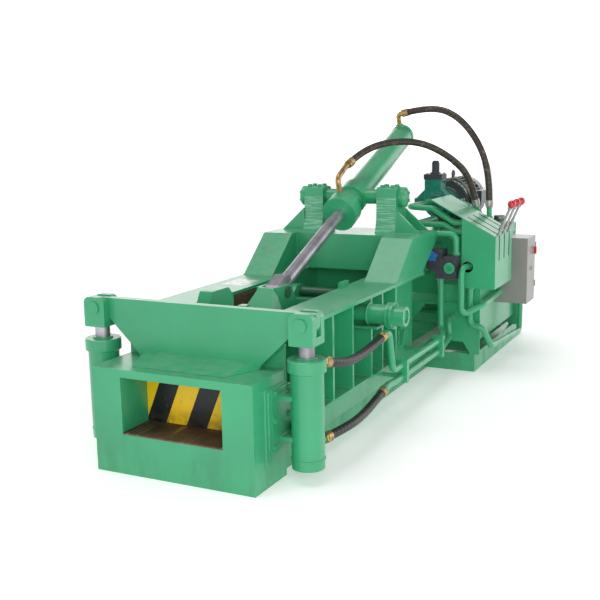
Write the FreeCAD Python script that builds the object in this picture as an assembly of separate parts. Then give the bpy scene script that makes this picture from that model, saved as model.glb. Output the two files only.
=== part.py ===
"""Hydraulic scrap baler that pushes the finished bale out at the front.

A pressing chamber runs along Y between two ribbed side walls.  The main ram presses the scrap
forwards against a gate, a hinged lid driven by an inclined cylinder closes the chamber from above,
and two upright cylinders lift the gate so that the bale leaves through the outlet box.
Origin: on the floor, in the middle of the outlet box's front face.  X right, Y back, Z up, in mm.
"""
import math
import os

import FreeCAD
import Part

V = FreeCAD.Vector

# ---------------------------------------------------------------- driving dimensions
CHAMBER_WIDTH = 492.0       # clear width between the linings
CHAMBER_LENGTH = 1360.0     # from the outlet box to the lid hinge
FLOOR_TOP = 203.0           # top of the floor lining
WALL_TOP = 702.0            # top of the side walls
WALL_REACH = 251.0          # from the lining face to the outer edge of ribs and flange
LINING = 20.0               # wall lining
WALL_PLATE = 25.0           # inner plate of a side wall
RIB_PLATE = 20.0
FLOOR_LINING = 8.0
FLOOR_PLATE = 18.0

BOX_LENGTH = 300.0          # outlet box
BOX_HEIGHT = 506.0
OPENING_STEP = 25.0         # by which its tunnel is wider than the chamber, on each side
BOX_JAMB = 158.0            # from the tunnel to the box's outer side
OPENING_TOP = 468.0

GATE_LAP = 29.0             # width of the gate behind the tunnel's edge, on each side
GATE_THICKNESS = 40.0
GATE_FRONT = 205.0
GATE_STROKE = 270.0
GATE_BORE = 125.0
GATE_BARREL = 152.0         # outer diameter
GATE_ROD = 74.0
GATE_CYLINDER_SET = 10.0    # by which the barrel reaches in past the outer edge of the wall
GATE_CYLINDER_Y = 259.0
GATE_PIN = 44.0

RAM_HEIGHT = 290.0
RAM_LENGTH = 350.0
RAM_STROKE = 1200.0
MAIN_BORE = 200.0
MAIN_BARREL = 245.0
MAIN_ROD = 120.0

LID_ANGLE = 60.0            # opening angle
LID_PLATE = 20.0
LID_BORE = 125.0
LID_BARREL = 155.0
LID_ROD = 75.0
LID_ROD_PIN = 50.0
TRUNNION_PIN = 80.0
LOCK_PIN = 44.0
LOCK_BARREL = 110.0
LOCK_STROKE = 50.0

TANK_LENGTH = 1005.0
PIPE = 38.0                 # outer diameter of the steel pipes
THIN_PIPE = 30.0
HOSE = 44.0                 # outer diameter of the hoses
KNOB = 50.0
LEVER_TILT = 22.8           # degrees from upright

FIT = 0.3                   # radial play of pins, pistons and other round fits
SLIDE = 1.0                 # play of flat guides

# ---------------------------------------------------------------- derived places
HALF = CHAMBER_WIDTH / 2
WALL_IN = HALF + LINING
WALL_OUT = WALL_IN + WALL_PLATE
EDGE = HALF + WALL_REACH
OPENING_WIDTH = CHAMBER_WIDTH + 2 * OPENING_STEP
BOX_WIDTH = OPENING_WIDTH + 2 * BOX_JAMB
GATE_WIDTH = OPENING_WIDTH + 2 * GATE_LAP
GATE_CYLINDER_X = EDGE + GATE_BARREL / 2 - GATE_CYLINDER_SET
HINGE_Y = BOX_LENGTH + CHAMBER_LENGTH
HINGE_Z = WALL_TOP - 102.0
FLOOR_BASE = FLOOR_TOP - FLOOR_LINING
RAM_TOP = FLOOR_TOP + RAM_HEIGHT
RAM_FRONT = HINGE_Y + 60.0
RAM_AXIS_Z = FLOOR_TOP + RAM_HEIGHT / 2
RAM_WALL = HINGE_Y + 440.0          # plate that closes the ram's housing
LID_TOP = WALL_TOP - 124.0
LID_BOTTOM = RAM_TOP + 4.0
LUG_Y = HINGE_Y - 610.0             # rod pin of the lid
LUG_Z = HINGE_Z + 112.0
TRUNNION_Y = HINGE_Y + 440.0
TRUNNION_Z = HINGE_Z + 545.0
DECK_Z = WALL_TOP + 228.0           # platform on the portal
PORTAL_Y = HINGE_Y + 225.0          # front of the portal's crossbeam
PORTAL_BACK = HINGE_Y + 590.0
GATE_PIN_Z = BOX_HEIGHT + 231.0
GATE_HEAD_TOP = BOX_HEIGHT + 73.0
LOCK_Y = HINGE_Y - 510.0
LOCK_Z = LID_TOP + 27.0
PACK_Y = HINGE_Y + 735.0            # front of the power pack
TANK_TOP = WALL_TOP + 168.0
TANK_RIGHT = 712.0
PUMP_X = 315.0
PUMP_Z = TANK_TOP + 170.0
SILL_HALF = WALL_OUT + 100.0        # half width of the base frame
PORTAL_IN = WALL_OUT + 9.0          # inner faces of the portal's legs
LID_DRUM = LID_BARREL / 2 + 32.5    # radius of the lid cylinder's gland drum
MAIN_BOLTS = MAIN_BARREL / 2 + 22.5     # bolt circle of the main cylinder's flange

LID_RISE = math.atan2(TRUNNION_Z - LUG_Z, TRUNNION_Y - LUG_Y)
LID_AXIS = V(0, math.cos(LID_RISE), math.sin(LID_RISE))
LID_NORMAL = V(0, -math.sin(LID_RISE), math.cos(LID_RISE))
TRUNNION = V(0, TRUNNION_Y, TRUNNION_Z)
PIN_TO_TRUNNION = math.hypot(TRUNNION_Z - LUG_Z, TRUNNION_Y - LUG_Y)
X_AXIS, Y_AXIS, Z_AXIS = V(1, 0, 0), V(0, 1, 0), V(0, 0, 1)


# Routes of the free hoses, chosen point by point from the photographed curves.
FERRULE = 45.0              # length of a hose end fitting
HOSES = {
    "lid_rear": [V(78, 2882, 1666), V(260, 2864, 1700), V(455, 2827, 1630), V(610, 2797, 1450),
                 V(682, 2782, 1240), V(685, 2780, 1075)],
    "lid_front": [V(0, 2074, 1366), V(25, 2190, 1425), V(150, 2330, 1480), V(320, 2490, 1470),
                  V(470, 2650, 1360), V(562, 2752, 1228), V(590, 2780, 1080)],
    "gate_upper": [V(602, 404, 532), V(628, 520, 500), V(622, 690, 488), V(610, 880, 490),
                   V(604, 1040, 506)],
    "gate_lower": [V(602, 404, 180), V(630, 540, 184), V(628, 715, 183), V(613, 885, 190),
                   V(604, 1040, 210)],
}


def hose_port(name):
    """Where the fitting at the hose's first point meets its port, and the direction out of it."""
    start, following = HOSES[name][:2]
    aim = (following - start).normalize()
    return start - aim * FERRULE, aim


def hose_landing(name):
    """Where the fitting at the hose's last point ends, and the direction the hose arrives in."""
    before, last = HOSES[name][-2:]
    aim = (last - before).normalize()
    return last + aim * FERRULE, aim


# ---------------------------------------------------------------- shapes
def block(x, y, z):
    """A box between three pairs of low and high values."""
    return Part.makeBox(x[1] - x[0], y[1] - y[0], z[1] - z[0], V(x[0], y[0], z[0]))


def rod(start, end, radius):
    """A round bar between two points."""
    return Part.makeCylinder(radius, (end - start).Length, start, end - start)


def fuse(shapes):
    """One solid from shapes that touch."""
    shapes = list(shapes)
    return shapes[0].multiFuse(shapes[1:]).removeSplitter() if shapes[1:] else shapes[0]


def rounded(corners, place):
    """A closed face: corners are (u, v) or (u, v, radius), and place turns (u, v) into a point."""
    edges, ends = [], []
    for index, corner in enumerate(corners):
        here = V(corner[0], corner[1], 0)
        before = V(corners[index - 1][0], corners[index - 1][1], 0)
        after = V(corners[(index + 1) % len(corners)][0], corners[(index + 1) % len(corners)][1], 0)
        radius = corner[2] if len(corner) > 2 else 0
        back, on = (before - here).normalize(), (after - here).normalize()
        half = back.getAngle(on) / 2
        if radius:
            reach = radius / math.tan(half)
            centre = here + (back + on).normalize() * (radius / math.sin(half))
            mid = centre + (here - centre).normalize() * radius
            ends.append((here + back * reach, mid, here + on * reach))
        else:
            ends.append((here, None, here))
    for index, (_, _, leave) in enumerate(ends):
        arrive, mid, depart = ends[(index + 1) % len(ends)]
        if (arrive - leave).Length > 1e-6:
            edges.append(Part.LineSegment(place(leave), place(arrive)).toShape())
        if mid is not None:
            edges.append(Part.Arc(place(arrive), place(mid), place(depart)).toShape())
    return Part.Face(Part.Wire(edges))


def plate_x(corners, x):
    """A plate with its outline in (y, z), between two x values."""
    return rounded(corners, lambda p: V(x[0], p.x, p.y)).extrude(V(x[1] - x[0], 0, 0))


def plate_y(corners, y):
    """A plate with its outline in (x, z), between two y values."""
    return rounded(corners, lambda p: V(p.x, y[0], p.y)).extrude(V(0, y[1] - y[0], 0))


def sided(shape, side):
    """The shape made for the right side (+X), mirrored when side is -1."""
    return shape if side > 0 else shape.mirror(V(0, 0, 0), X_AXIS)


def bolt(seat, out, size):
    """Hexagon head on a washer, standing on seat and pointing along out."""
    washer = rod(seat, seat + out * (0.18 * size), 1.1 * size)
    across = 0.87 * size
    first = V(0, 0, 1) if abs(out.z) < 0.9 else V(1, 0, 0)
    first = (first - out * first.dot(out)).normalize()
    second = out.cross(first)
    base = seat + out * (0.17 * size)
    turns = [math.radians(60 * step) for step in range(7)]
    ring = [base + first * (across * math.cos(t)) + second * (across * math.sin(t)) for t in turns]
    head = Part.Face(Part.makePolygon(ring)).extrude(out * (0.65 * size))
    return fuse([washer, head])


def circle_of_bolts(centre, out, first, radius, count, size, start=0.0):
    """Bolts on a circle round the axis out."""
    second = out.cross(first)
    bolts = []
    for step in range(count):
        turn = start + 2 * math.pi * step / count
        seat = centre + first * (radius * math.cos(turn)) + second * (radius * math.sin(turn))
        bolts.append(bolt(seat, out, size))
    return bolts


def route(points, bend=None):
    """Straight runs joined by tangent arcs; without bend, each arc is as large as its runs allow."""
    edges, here, radii = [], points[0], []
    for before, corner, after in zip(points, points[1:], points[2:]):
        back, on = before - corner, after - corner
        half_turn = (math.pi - back.getAngle(on)) / 2
        reach = bend * math.tan(half_turn) if bend else 0.45 * min(back.Length, on.Length)
        radii.append(reach / math.tan(half_turn))
        back.normalize()
        on.normalize()
        start, end = corner + back * reach, corner + on * reach
        inward = (back + on).normalize()
        mid = corner + inward * (radii[-1] / math.cos(half_turn) - radii[-1])
        edges.append(Part.LineSegment(here, start).toShape())
        edges.append(Part.Arc(start, mid, end).toShape())
        here = end
    edges.append(Part.LineSegment(here, points[-1]).toShape())
    return Part.Wire(edges), radii


def piped(points, diameter, bend=None):
    """A round bar bent along a route."""
    path, radii = route(points, bend)
    section = Part.Wire(Part.makeCircle(diameter / 2, points[0], points[1] - points[0]))
    return path.makePipeShell([section], True, False), path.Length, radii


def pipe(points, diameter=PIPE, bend=None):
    """A steel pipe with a weld collar at each end."""
    bend = bend or 1.6 * diameter
    solid = piped(points, diameter, bend)[0]
    collars = []
    for end, towards in ((points[0], points[1]), (points[-1], points[-2])):
        along = (towards - end).normalize()
        collars.append(rod(end, end + along * (0.45 * diameter), 0.66 * diameter))
    return fuse([solid] + collars)


# ---------------------------------------------------------------- outlet box and floor
def outlet_box():
    """Fabricated portal at the front: the bale's tunnel with the gate's guide grooves."""
    half, side, front, rear = BOX_WIDTH / 2, 20.0, 25.0, 25.0
    jamb = GATE_WIDTH / 2 + 21
    bead = 5.0
    shell = block((-half, half), (0, BOX_LENGTH), (0, BOX_HEIGHT))
    tunnel = block((-OPENING_WIDTH / 2, OPENING_WIDTH / 2), (-1, BOX_LENGTH + 1), (FLOOR_BASE, OPENING_TOP))
    groove_half = GATE_WIDTH / 2 + SLIDE
    groove = block((-groove_half, groove_half),
                   (GATE_FRONT - SLIDE, GATE_FRONT + GATE_THICKNESS + SLIDE), (FLOOR_BASE, BOX_HEIGHT + 1))
    under = block((-half + side, half - side), (front, BOX_LENGTH - rear), (-1, FLOOR_BASE - FLOOR_PLATE))
    cavity = block((jamb, half - side), (front, BOX_LENGTH - rear), (-1, OPENING_TOP))
    shell = shell.cut(tunnel).cut(groove).cut(under).cut(cavity).cut(sided(cavity, -1))
    seams = [rod(V(s * half, 105, 90), V(s * half, 105, BOX_HEIGHT - 50), bead) for s in (-1, 1)]
    return fuse([shell] + seams)


def floor_liner():
    """Wear plate of the floor, wider inside the outlet tunnel."""
    tunnel = OPENING_WIDTH / 2 - FIT
    chamber = HALF - FIT
    z = (FLOOR_BASE, FLOOR_TOP)
    front = block((-tunnel, tunnel), (0, BOX_LENGTH), z)
    back = block((-chamber, chamber), (BOX_LENGTH, RAM_WALL), z)
    return fuse([front, back])


def base_frame():
    """Floor plate on two channels that run the whole length, with cross members."""
    channel, web, flange = 81.0, 12.0, 12.0
    back = PACK_Y + TANK_LENGTH + 250
    deck_z = FLOOR_BASE - FLOOR_PLATE
    parts = [block((-SILL_HALF, SILL_HALF), (BOX_LENGTH, RAM_WALL), (deck_z, FLOOR_BASE))]
    for side in (-1, 1):
        inner, outer = SILL_HALF - channel, SILL_HALF
        parts.append(sided(block((outer - web, outer), (BOX_LENGTH, back), (0, deck_z)), side))
        parts.append(sided(block((inner, outer), (BOX_LENGTH, back), (0, flange)), side))
        parts.append(sided(block((inner, outer), (BOX_LENGTH, back), (deck_z - flange, deck_z)), side))
    bays = math.ceil((back - BOX_LENGTH) / 345)
    for bay in range(bays + 1):
        y = BOX_LENGTH + bay * (back - BOX_LENGTH - 20) / bays
        parts.append(block((-SILL_HALF, SILL_HALF), (y, y + 20), (0, deck_z)))
    return fuse(parts)


# ---------------------------------------------------------------- gate
def gate_panel():
    """The striped steel slab that closes the tunnel."""
    half, gap = GATE_WIDTH / 2, 2.0
    y = (GATE_FRONT, GATE_FRONT + GATE_THICKNESS)
    return block((-half, half), y, (FLOOR_TOP + gap, BOX_HEIGHT + SLIDE))


def gate_crossbeam():
    """Beam that both gate cylinders lift, with the sloped foot that carries the panel."""
    front, plate = GATE_FRONT - 15, 25.0
    back = GATE_CYLINDER_Y + 23
    panel = GATE_WIDTH / 2
    half, top = GATE_CYLINDER_X - 73, GATE_PIN_Z + 61
    foot_half, foot_top = panel + 30, BOX_HEIGHT + 24
    flare_z = GATE_PIN_Z - 51
    foot = BOX_HEIGHT + SLIDE
    face = [(-half, top, 10), (half, top, 10), (half, flare_z, 25), (foot_half, foot_top, 15),
            (-foot_half, foot_top, 15), (-half, flare_z, 25)]
    core_top = top - 23
    core_half, core_foot, core_flare = half - 6, foot_half - 12, flare_z + 12
    core = [(-core_half, core_top), (core_half, core_top), (core_half, core_flare), (core_foot, foot),
            (-core_foot, foot), (-core_half, core_flare)]
    beam = [plate_y(face, (front, front + plate)), plate_y(core, (front + plate, back))]
    tip, root, lean_back = panel - 50, panel + 35, 250.0
    bottom = [(-tip, 68), (tip, 68), (root, lean_back), (-root, lean_back)]
    upper = [(-panel, front), (panel, front), (panel, lean_back), (-panel, lean_back)]
    wires = [Part.makePolygon([V(x, y, z) for x, y in ring + ring[:1]])
             for ring, z in ((bottom, foot), (upper, BOX_HEIGHT + 39))]
    beam.append(Part.makeLoft(wires, True, True))
    tongue_front = GATE_CYLINDER_Y - 20
    for side in (-1, 1):
        tongue = plate_y([(half - 40, core_top - 2), (GATE_CYLINDER_X, core_top - 2, 0),
                          (GATE_CYLINDER_X + 38, core_top - 2, 36), (GATE_CYLINDER_X + 38, flare_z + 13, 36),
                          (half - 40, flare_z + 13)], (tongue_front, back))
        beam.append(sided(tongue, side))
    beam = fuse(beam)
    for side in (-1, 1):
        centre = V(side * GATE_CYLINDER_X, 0, GATE_PIN_Z)
        beam = beam.cut(rod(centre, centre + Y_AXIS * 400, GATE_PIN / 2 + FIT))
    return beam


def gate_clevis(side):
    """Fork on the rod that takes the crossbeam's tongue."""
    half, front, back = 60.0, GATE_CYLINDER_Y - 59, GATE_CYLINDER_Y + 59
    base, top = GATE_HEAD_TOP + 63, GATE_PIN_Z + 53
    x = GATE_CYLINDER_X
    fork = plate_y([(x - half, base, 6), (x + half, base, 6), (x + half, top, 32), (x - half, top, 32)],
                   (front, back))
    throat = block((x - half - 1, x + half + 1), (GATE_CYLINDER_Y - 21, GATE_CYLINDER_Y + 24),
                   (base + 40, top + 1))
    bore = rod(V(x, front - 1, GATE_PIN_Z), V(x, back + 1, GATE_PIN_Z), GATE_PIN / 2 + FIT)
    return sided(fork.cut(throat).cut(bore), side)


def gate_pins():
    """Two headed pins through fork and tongue, each held by a keeper disc at the back."""
    pins = []
    for side in (-1, 1):
        x, front, back = side * GATE_CYLINDER_X, GATE_CYLINDER_Y - 59, GATE_CYLINDER_Y + 59
        shank = rod(V(x, front, GATE_PIN_Z), V(x, back, GATE_PIN_Z), GATE_PIN / 2)
        head = rod(V(x, front - 9, GATE_PIN_Z), V(x, front, GATE_PIN_Z), 30)
        keeper = rod(V(x, back, GATE_PIN_Z), V(x, back + 8, GATE_PIN_Z), 28)
        pins.append(fuse([shank, head, keeper]))
    return pins


def gate_cylinder_floor():
    """Inside bottom of a gate cylinder's bore."""
    return GATE_HEAD_TOP - 494


def gate_rod(side):
    """Chromed rod with its piston."""
    x, bottom = GATE_CYLINDER_X, gate_cylinder_floor() + 2
    piston = rod(V(x, GATE_CYLINDER_Y, bottom), V(x, GATE_CYLINDER_Y, bottom + 50), GATE_BORE / 2 - FIT)
    bar = rod(V(x, GATE_CYLINDER_Y, bottom + 50), V(x, GATE_CYLINDER_Y, GATE_HEAD_TOP + 63), GATE_ROD / 2)
    return sided(fuse([piston, bar]), side)


def gate_cylinder(side):
    """Barrel with its welded bottom and two port bosses."""
    x, y, bottom = GATE_CYLINDER_X, GATE_CYLINDER_Y, gate_cylinder_floor()
    top = GATE_HEAD_TOP - 60
    boss = 17.0
    port_end, aim = hose_port("gate_lower")
    barrel = rod(V(x, y, bottom - 12), V(x, y, top), GATE_BARREL / 2)
    seam = rod(V(x, y, bottom + 30), V(x, y, bottom + 36), GATE_BARREL / 2 + 3)
    port = rod(port_end - aim * 40, port_end, boss)
    barrel = fuse([barrel, seam, port])
    bore = rod(V(x, y, bottom), V(x, y, top + 1), GATE_BORE / 2)
    way = rod(port_end - aim * 45, port_end + aim, 9)
    return sided(barrel.cut(bore).cut(way), side)


def gate_cylinder_heads():
    """Rod glands screwed on the barrels."""
    heads = []
    for side in (-1, 1):
        x, y, z = GATE_CYLINDER_X, GATE_CYLINDER_Y, GATE_HEAD_TOP
        port_end, aim = hose_port("gate_upper")
        head = rod(V(x, y, z - 60), V(x, y, z), GATE_BARREL / 2 + 12.5)
        head = head.makeChamfer(4, [edge for edge in head.Edges if edge.Closed and len(edge.Vertexes) == 1
                                    and edge.BoundBox.ZLength < 1])
        wiper = rod(V(x, y, z), V(x, y, z + 8), GATE_ROD / 2 + 12)
        port = rod(port_end - aim * 28, port_end, 17)
        head = fuse([head, wiper, port]).cut(rod(V(x, y, z - 61), V(x, y, z + 9), GATE_ROD / 2 + FIT))
        heads.append(sided(head, side))
    return heads


def cylinder_brackets():
    """Plates on the outlet box with two cradles that hold each gate barrel."""
    brackets = []
    half, thick, round_off = BOX_WIDTH / 2, 20.0, 8.0
    front, back, low, high = 136.0, 318.0, 160.0, 446.0
    reach, depth = (half + thick, GATE_CYLINDER_X), (GATE_CYLINDER_Y - 60, GATE_CYLINDER_Y + 59)
    for side in (-1, 1):
        plate = plate_x([(front, low, round_off), (back, low, round_off), (back, high, round_off),
                         (front, high, round_off)], (half, half + thick))
        cradles = [block(reach, depth, (z, z + thick)) for z in (200, 390)]
        seat = rod(V(GATE_CYLINDER_X, GATE_CYLINDER_Y, 100), V(GATE_CYLINDER_X, GATE_CYLINDER_Y, 500),
                   GATE_BARREL / 2 + FIT)
        brackets.append(sided(fuse([plate] + cradles).cut(seat), side))
    return brackets


# ---------------------------------------------------------------- side walls
def rib_places():
    """Y of the ribs' front faces, from the hinge forwards."""
    return [HINGE_Y - 129 - step for step in (0, 206, 364, 614, 854, 1101)]


def side_wall(side):
    """Inner plate, top flange, deep ribs and the box rail they stand on."""
    back = RAM_WALL
    rail_low, rail_top, rail_wall = 165.0, FLOOR_TOP + 57, 15.0
    flange = 18.0
    plate_top = WALL_TOP - flange
    rail_front, rail_back = BOX_LENGTH + RIB_PLATE, HINGE_Y - 100
    rear_plate = SILL_HALF - 21
    parts = [block((WALL_IN, WALL_OUT), (BOX_LENGTH, back), (FLOOR_BASE, plate_top)),
             block((HALF, EDGE), (BOX_LENGTH - 10, PORTAL_BACK - 250), (plate_top, WALL_TOP)),
             block((WALL_OUT, BOX_WIDTH / 2 - 1), (BOX_LENGTH, rail_front), (FLOOR_BASE, plate_top)),
             block((WALL_OUT, EDGE), (rail_front, rail_back), (rail_top - rail_wall, rail_top)),
             block((SILL_HALF, EDGE), (rail_front, rail_back), (rail_low, rail_low + rail_wall)),
             block((EDGE - rail_wall, EDGE), (rail_front, rail_back), (rail_low, rail_top)),
             block((rear_plate, SILL_HALF), (rail_back, back), (FLOOR_BASE, plate_top))]
    for y in rib_places():
        parts.append(block((WALL_OUT, EDGE), (y, y + RIB_PLATE), (rail_top, plate_top)))
    for y in (rail_back - RIB_PLATE, back - RIB_PLATE):
        parts.append(block((WALL_OUT, SILL_HALF), (y, y + RIB_PLATE), (FLOOR_BASE, plate_top)))
    cuts = [rod(V(0, HINGE_Y, HINGE_Z), V(600, HINGE_Y, HINGE_Z), 30 + FIT)]
    if side > 0:
        parts.append(rod(V(WALL_IN, LOCK_Y, LOCK_Z), V(EDGE, LOCK_Y, LOCK_Z), LOCK_PIN / 2 + 20))
        shelf_y, shelf_z = (LOCK_Y - 62, LOCK_Y + 62), (LOCK_Z - 68, LOCK_Z - 56)
        parts.append(block((WALL_OUT, EDGE + 66), shelf_y, shelf_z))
        cuts.append(rod(V(0, LOCK_Y, LOCK_Z), V(EDGE + 1, LOCK_Y, LOCK_Z), LOCK_PIN / 2 + FIT))
        stop_y, stop_z = (HINGE_Y - 360, HINGE_Y - 260), (WALL_TOP, WALL_TOP + 32)
        parts.append(block((HALF, HALF + 22), stop_y, stop_z))
    wall = fuse(parts)
    for cut in cuts:
        wall = wall.cut(cut)
    return sided(wall, side)


def wall_liners():
    """Bare wear plates on the inside of both walls."""
    liners = []
    for side in (-1, 1):
        liner = block((HALF, WALL_IN), (BOX_LENGTH, HINGE_Y - 60), (FLOOR_BASE, WALL_TOP - 18))
        if side > 0:
            liner = liner.cut(rod(V(0, LOCK_Y, LOCK_Z), V(WALL_IN + 1, LOCK_Y, LOCK_Z), LOCK_PIN / 2 + FIT))
        liners.append(sided(liner, side))
    return liners


# ---------------------------------------------------------------- portal and bearings
def portal_leg(side):
    """Sloped hollow leg on the wall's flange."""
    foot = HINGE_Y - 113
    outline = [(foot, WALL_TOP), (foot + 273, DECK_Z, 25), (PORTAL_BACK, DECK_Z), (PORTAL_BACK, DECK_Z - 60),
               (PORTAL_BACK - 262, WALL_TOP)]
    hollow = [(foot + 30, WALL_TOP - 1), (foot + 282, DECK_Z - 20), (PORTAL_BACK - 20, DECK_Z - 20),
              (PORTAL_BACK - 20, DECK_Z - 55), (PORTAL_BACK - 282, WALL_TOP - 1)]
    leg = plate_x(outline, (PORTAL_IN, EDGE)).cut(plate_x(hollow, (PORTAL_IN + 20, EDGE - 20)))
    return sided(leg, side)


def portal_crossbeam():
    """Box beam between the legs, open below."""
    low, inside = WALL_TOP + 11, PORTAL_IN - 20
    beam = block((-PORTAL_IN, PORTAL_IN), (PORTAL_Y, PORTAL_BACK), (low, DECK_Z))
    return beam.cut(block((-inside, inside), (PORTAL_Y + 20, PORTAL_BACK - 20), (low - 1, DECK_Z - 20)))


BEARING_IN, BEARING_OUT = 182.0, 312.0
BEARING_HEAD, CAP_RISE = 72.0, 62.0


def pedestal(side):
    """Flame-cut bearing pedestal, curved up to a split bearing, with two gussets."""
    inner, outer, head = BEARING_IN, BEARING_OUT, BEARING_HEAD
    front, back = TRUNNION_Y - 98, TRUNNION_Y + 120
    outline = [(front, DECK_Z), (front + 22, TRUNNION_Z - 130, 260), (TRUNNION_Y - head, TRUNNION_Z - 20, 30),
               (TRUNNION_Y - head, TRUNNION_Z), (TRUNNION_Y + head, TRUNNION_Z),
               (TRUNNION_Y + head, TRUNNION_Z - 20, 30), (back - 30, TRUNNION_Z - 130, 260), (back, DECK_Z)]
    body = plate_x(outline, (inner, outer))
    top = TRUNNION_Z - 72
    gussets = [plate_y([(outer, DECK_Z), (outer + 150, DECK_Z), (outer + 142, DECK_Z + 12, 6), (outer, top)],
                       (y, y + 20)) for y in (front + 14, back - 40)]
    bore = rod(V(0, TRUNNION_Y, TRUNNION_Z), V(400, TRUNNION_Y, TRUNNION_Z), TRUNNION_PIN / 2 + FIT)
    return sided(fuse([body] + gussets).cut(bore), side)


def bearing_caps():
    """Upper halves of the trunnion bearings."""
    inner, outer, head = BEARING_IN, BEARING_OUT, BEARING_HEAD
    caps = []
    for side in (-1, 1):
        outline = [(TRUNNION_Y - head, TRUNNION_Z), (TRUNNION_Y - head, TRUNNION_Z + CAP_RISE, 18),
                   (TRUNNION_Y + head - 25, TRUNNION_Z + CAP_RISE, 45),
                   (TRUNNION_Y + head, TRUNNION_Z + 22, 12),
                   (TRUNNION_Y + head, TRUNNION_Z)]
        bore = rod(V(0, TRUNNION_Y, TRUNNION_Z), V(400, TRUNNION_Y, TRUNNION_Z), TRUNNION_PIN / 2 + FIT)
        caps.append(sided(plate_x(outline, (inner, outer)).cut(bore), side))
    return caps


# ---------------------------------------------------------------- lid and its cylinder
def lid():
    """Ribbed press lid with its hinge lugs, the rod's lug and the front press block."""
    half, front, back = HALF - 6, BOX_LENGTH + 10, HINGE_Y - 10
    bar, rib = 25.0, 20.0
    lug_half = LID_ROD / 2 + 1
    parts = [block((-half, half), (front, back), (LID_BOTTOM, LID_BOTTOM + LID_PLATE)),
             block((-half, half), (front, front + rib), (LID_BOTTOM, LID_TOP)),
             block((-half, half), (back - 120, back - 60), (LID_BOTTOM, LID_TOP))]
    for side in (-1, 1):
        parts.append(sided(block((half - bar, half), (front, back - 60), (LID_BOTTOM, LID_TOP)), side))
        lug = [(back - 130, LID_BOTTOM), (back - 2, LID_BOTTOM), (back - 2, HINGE_Z - 45),
               (HINGE_Y + 45, HINGE_Z - 45, 44),
               (HINGE_Y + 45, HINGE_Z + 45, 44), (HINGE_Y - 60, HINGE_Z + 45, 40), (back - 130, LID_TOP)]
        parts.append(sided(plate_x(lug, (half - 80, half)), side))
        cheek = [(LUG_Y - 340, LID_BOTTOM), (LUG_Y + 230, LID_BOTTOM), (LUG_Y + 230, LID_TOP + 4),
                 (LUG_Y + 45, LUG_Z + 45, 44), (LUG_Y - 145, LUG_Z + 45), (LUG_Y - 300, LID_TOP + 10)]
        parts.append(sided(plate_x(cheek, (lug_half, lug_half + 22)), side))
    for step in range(1, 6):
        y = front + step * (back - 120 - front) / 6
        parts.append(block((-half, half), (y, y + rib), (LID_BOTTOM, LID_TOP)))
    spread = [(-108, LID_TOP), (108, LID_TOP), (60, LUG_Z + 45, 10), (-60, LUG_Z + 45, 10)]
    apron = plate_y(spread, (LUG_Y - 320, LUG_Y - 120))
    slope = plate_x([(LUG_Y - 300, LID_TOP), (LUG_Y - 165, LUG_Z + 45), (LUG_Y - 143, LUG_Z + 45),
                     (LUG_Y - 270, LID_TOP)], (-130, 130))
    parts.append(apron.common(slope))
    press = plate_y([(-172, LID_TOP), (40, LID_TOP), (40, WALL_TOP + 108, 14), (-120, WALL_TOP + 108, 30),
                     (-172, WALL_TOP + 50, 20)], (500, 600))
    parts.append(press)
    solid = fuse(parts)
    pin = LID_ROD_PIN / 2 + FIT
    for centre, radius in ((V(-300, LUG_Y, LUG_Z), pin), (V(-300, HINGE_Y, HINGE_Z), 30 + FIT)):
        solid = solid.cut(rod(centre, centre + X_AXIS * 600, radius))
    return solid


def lid_rod_pin():
    """Pin of the rod eye, headed on both sides."""
    half = LID_ROD / 2 + 23
    centre = V(0, LUG_Y, LUG_Z)
    shank = rod(centre - X_AXIS * half, centre + X_AXIS * half, LID_ROD_PIN / 2)
    heads = [rod(centre + X_AXIS * (s * half), centre + X_AXIS * (s * (half + 8)), LID_ROD_PIN / 2 + 7)
             for s in (-1, 1)]
    return fuse([shank] + heads)


def lid_hinge_pin():
    """Hinge pin through the lid's lugs and both walls."""
    reach = WALL_OUT + 12
    return rod(V(-reach, HINGE_Y, HINGE_Z), V(reach, HINGE_Y, HINGE_Z), 30)


def along(s, n=0.0, x=0.0):
    """A point s along the lid cylinder's axis from the trunnion, n above it and x to the right."""
    return TRUNNION + LID_AXIS * s + LID_NORMAL * n + X_AXIS * x


LID_HEAD = -250.0           # front face of the gland, from the trunnion
LID_TAIL = 953.0            # rear face of the barrel


def lid_cylinder_barrel():
    """Barrel with its gland drum and two upper ports."""
    drum, radius, boss = LID_DRUM, LID_BARREL / 2, 26.0
    front_port, rear_port = LID_HEAD + 70, LID_TAIL - 30
    barrel = fuse([rod(along(LID_HEAD + 90), along(LID_TAIL - 25), radius),
                   rod(along(LID_HEAD), along(LID_HEAD + 95), drum),
                   rod(along(LID_TAIL - 28), along(LID_TAIL), radius + 4),
                   rod(along(front_port, drum - 15), along(front_port, drum + 12), boss),
                   rod(along(rear_port, radius - 15), along(rear_port, radius + 14), boss)])
    bore = rod(along(LID_HEAD + 60), along(LID_TAIL - 35), LID_BORE / 2)
    gland = rod(along(LID_HEAD - 1), along(LID_HEAD + 61), LID_ROD / 2 + FIT)
    return barrel.cut(bore).cut(gland)


def lid_cylinder_trunnion():
    """Ring shrunk on the barrel with two stub shafts in the bearings."""
    ring = rod(along(-50), along(50), LID_BARREL / 2 + 18.5)
    shafts = []
    for side in (-1, 1):
        out = X_AXIS * side
        shafts.append(rod(TRUNNION + out * 70, TRUNNION + out * (BEARING_IN - 1), TRUNNION_PIN / 2 + 6))
        shafts.append(rod(TRUNNION + out * 170, TRUNNION + out * (BEARING_OUT + 6), TRUNNION_PIN / 2))
    return fuse([ring] + shafts).cut(rod(along(-60), along(60), LID_BARREL / 2 + FIT))


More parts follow.
